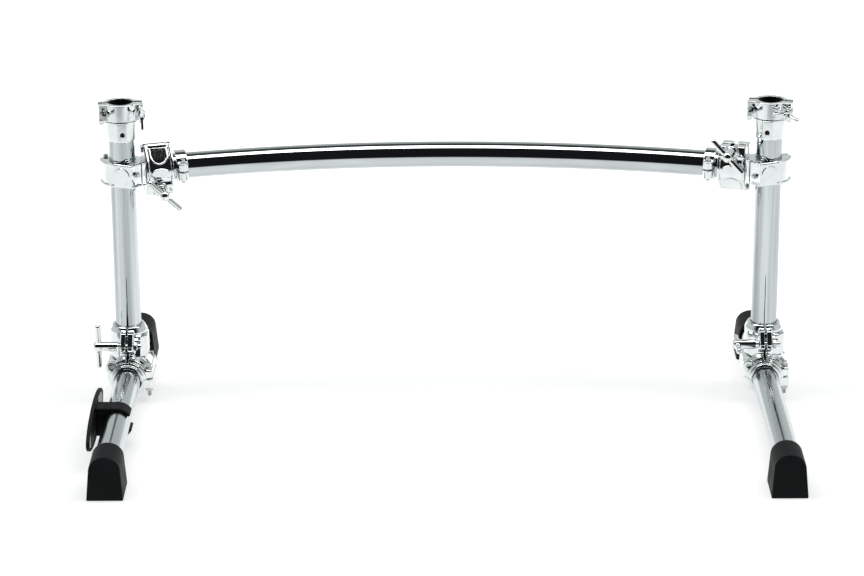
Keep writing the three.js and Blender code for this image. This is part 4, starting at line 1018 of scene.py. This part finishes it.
emit("bowed_crossbar", curved_bar_shape(), WORLD, "crossbar", "tube_chrome", BAR_TUBE, "curved_bar")
emit("leg_clip", net(clip_f, (-30, CLIP_Y0, 14), (24, CLIP_Y1, CLIP_TOP), 0.6), side_matrix(-1), "left_leg", "black_plastic", PLASTIC, "badge_clip")
emit("blank_oval_plate", net(plate_f, (-2.6, -PLATE_LY, -PLATE_LZ), (2.6, PLATE_LY, PLATE_LZ), 0.9), side_matrix(-1) @ PLATE_M, "left_leg", "black_plastic", PLASTIC, "badge_plate")

emit("blank_oval_inlay", net(inlay_f, (1.25, -PLATE_LY + 6.6, -PLATE_LZ + 6.6), (1.95, PLATE_LY - 6.6, PLATE_LZ - 6.6), 0.7), side_matrix(-1) @ PLATE_M, "left_leg", "black_plastic", INLAY)


# ------------------------------------------------------------------------ stage
def stage_floor():
    me = bpy.data.meshes.new("floor")
    x, y0, y1 = 6.0, -2.2, 5.5
    me.from_pydata([(-x, y0, 0), (x, y0, 0), (x, y1, 0), (-x, y1, 0)], [], [(0, 1, 2, 3)])
    o = bpy.data.objects.new("floor", me)
    bpy.context.scene.collection.objects.link(o)
    m, nt, bsdf = new_material("pale_floor")
    v = coords(nt)
    nt.links.new(ramp(nt, noise(nt, v, 3.0, 2.0), (0.3, (0.50, 0.505, 0.505)), (0.7, (0.52, 0.525, 0.525))), bsdf.inputs["Base Color"])
    bsdf.inputs["Roughness"].default_value = 0.9
    bsdf.inputs["Specular IOR Level"].default_value = 0.1
    # painted glow: the floor emits light so it reads overexposed, and the painted glow fades to nearly dark far in
    # front
    sep = node(nt, "ShaderNodeSeparateXYZ")
    nt.links.new(v, sep.inputs[0])
    floor_glow_fade = value_range(nt, sep.outputs["Y"], 0.0, 1.0, -1.45, 1.55)
    nt.links.new(ramp(nt, floor_glow_fade, (0.0, (0.06, 0.065, 0.065)), (0.083, (0.52, 0.52, 0.52)), (0.52, (0.54, 0.54, 0.54)), (0.8, (0.9, 0.9, 0.9)), (1.0, (1.0, 1.0, 1.0))), bsdf.inputs["Emission Color"])
    bsdf.inputs["Emission Strength"].default_value = 1.0
    me.materials.append(m)
    return o


stage_floor()


def area(name, at, look, size, size_y, power):
    l = bpy.data.lights.new(name, "AREA")
    l.shape = "RECTANGLE"
    l.size, l.size_y = size, size_y
    l.energy = power
    o = bpy.data.objects.new(name, l)
    o.location = at
    o.rotation_euler = (Vector(look) - Vector(at)).to_track_quat("-Z", "Y").to_euler()
    bpy.context.scene.collection.objects.link(o)
    return o


# long softbox overhead, slightly behind the rack
area("softbox_top", (0, 0.05, 2.75), (0, 0.05, 0), 5.0, 1.04, 84.0)

world = bpy.data.worlds.new("studio")
bpy.context.scene.world = world
world.use_nodes = True
nt = world.node_tree
nt.nodes.clear()
out = nt.nodes.new("ShaderNodeOutputWorld")
bg = nt.nodes.new("ShaderNodeBackground")
nt.links.new(bg.outputs[0], out.inputs[0])
tc = nt.nodes.new("ShaderNodeTexCoord")
sep = nt.nodes.new("ShaderNodeSeparateXYZ")
nt.links.new(tc.outputs["Generated"], sep.inputs[0])
neg = nt.nodes.new("ShaderNodeMath")
neg.operation = "MULTIPLY"
neg.inputs[1].default_value = -1.0
nt.links.new(sep.outputs["Y"], neg.inputs[0])
at2 = nt.nodes.new("ShaderNodeMath")
at2.operation = "ARCTAN2"
nt.links.new(sep.outputs["Z"], at2.inputs[0])
nt.links.new(neg.outputs[0], at2.inputs[1])
# turn about X, from the camera side (0) over the top (0.5) to the far side (1)
tn = nt.nodes.new("ShaderNodeMath")
tn.operation = "DIVIDE"
tn.inputs[1].default_value = math.pi
nt.links.new(at2.outputs[0], tn.inputs[0])
ab = nt.nodes.new("ShaderNodeMath")
ab.operation = "ABSOLUTE"
nt.links.new(tn.outputs[0], ab.inputs[0])
bands = ramp(nt, ab.outputs[0], (0.0, (0.012, 0.013, 0.014)), (0.425, (0.012, 0.013, 0.014)), (0.44, (0.9, 0.92, 0.93)), (0.56, (0.95, 0.96, 0.97)),
             (0.575, (0.05, 0.06, 0.06)), (0.705, (0.06, 0.07, 0.07)), (0.75, (0.50, 0.53, 0.53)), (1.0, (0.70, 0.73, 0.73)))
# the sides of the room are pale
xa = nt.nodes.new("ShaderNodeMath")
xa.operation = "ABSOLUTE"
nt.links.new(sep.outputs["X"], xa.inputs[0])
sides = value_range(nt, xa.outputs[0], 0.0, 1.0, 0.72, 0.93)
mix = nt.nodes.new("ShaderNodeMix")
mix.data_type = "RGBA"
nt.links.new(sides, mix.inputs["Factor"])
nt.links.new(bands, mix.inputs[6])
mix.inputs[7].default_value = (0.62, 0.65, 0.65, 1)
nt.links.new(mix.outputs[2], bg.inputs["Color"])
bg.inputs["Strength"].default_value = 1.0

# ----------------------------------------------------------------------- camera
F_PX, TH, PS, RH = 3159.5, math.radians(19.42), math.radians(-0.12), math.radians(-0.26)
fw = Vector((math.sin(PS) * math.cos(TH), math.cos(PS) * math.cos(TH), -math.sin(TH)))
rt = Vector((math.cos(PS), -math.sin(PS), 0))
up = rt.cross(fw)
rt2 = math.cos(RH) * rt + math.sin(RH) * up
up2 = -math.sin(RH) * rt + math.cos(RH) * up
cam_data = bpy.data.cameras.new("camera")
cam_data.sensor_fit = "HORIZONTAL"
cam_data.sensor_width = 36.0
cam_data.lens = F_PX * 36.0 / 864.0
cam_data.clip_start, cam_data.clip_end = 0.05, 60.0
cam = bpy.data.objects.new("camera", cam_data)
bpy.context.scene.collection.objects.link(cam)
m = Matrix.Identity(4)
for r in range(3):
    m[r][0], m[r][1], m[r][2] = rt2[r], up2[r], -fw[r]
m[0][3], m[1][3], m[2][3] = (-11.44 + ORIGIN[0]) / 1000, (-4431.85 + ORIGIN[1]) / 1000, 1.72916
cam.matrix_world = m
bpy.context.scene.camera = cam
bpy.context.scene.view_settings.view_transform = "Standard"
bpy.context.scene.view_settings.look = "None"
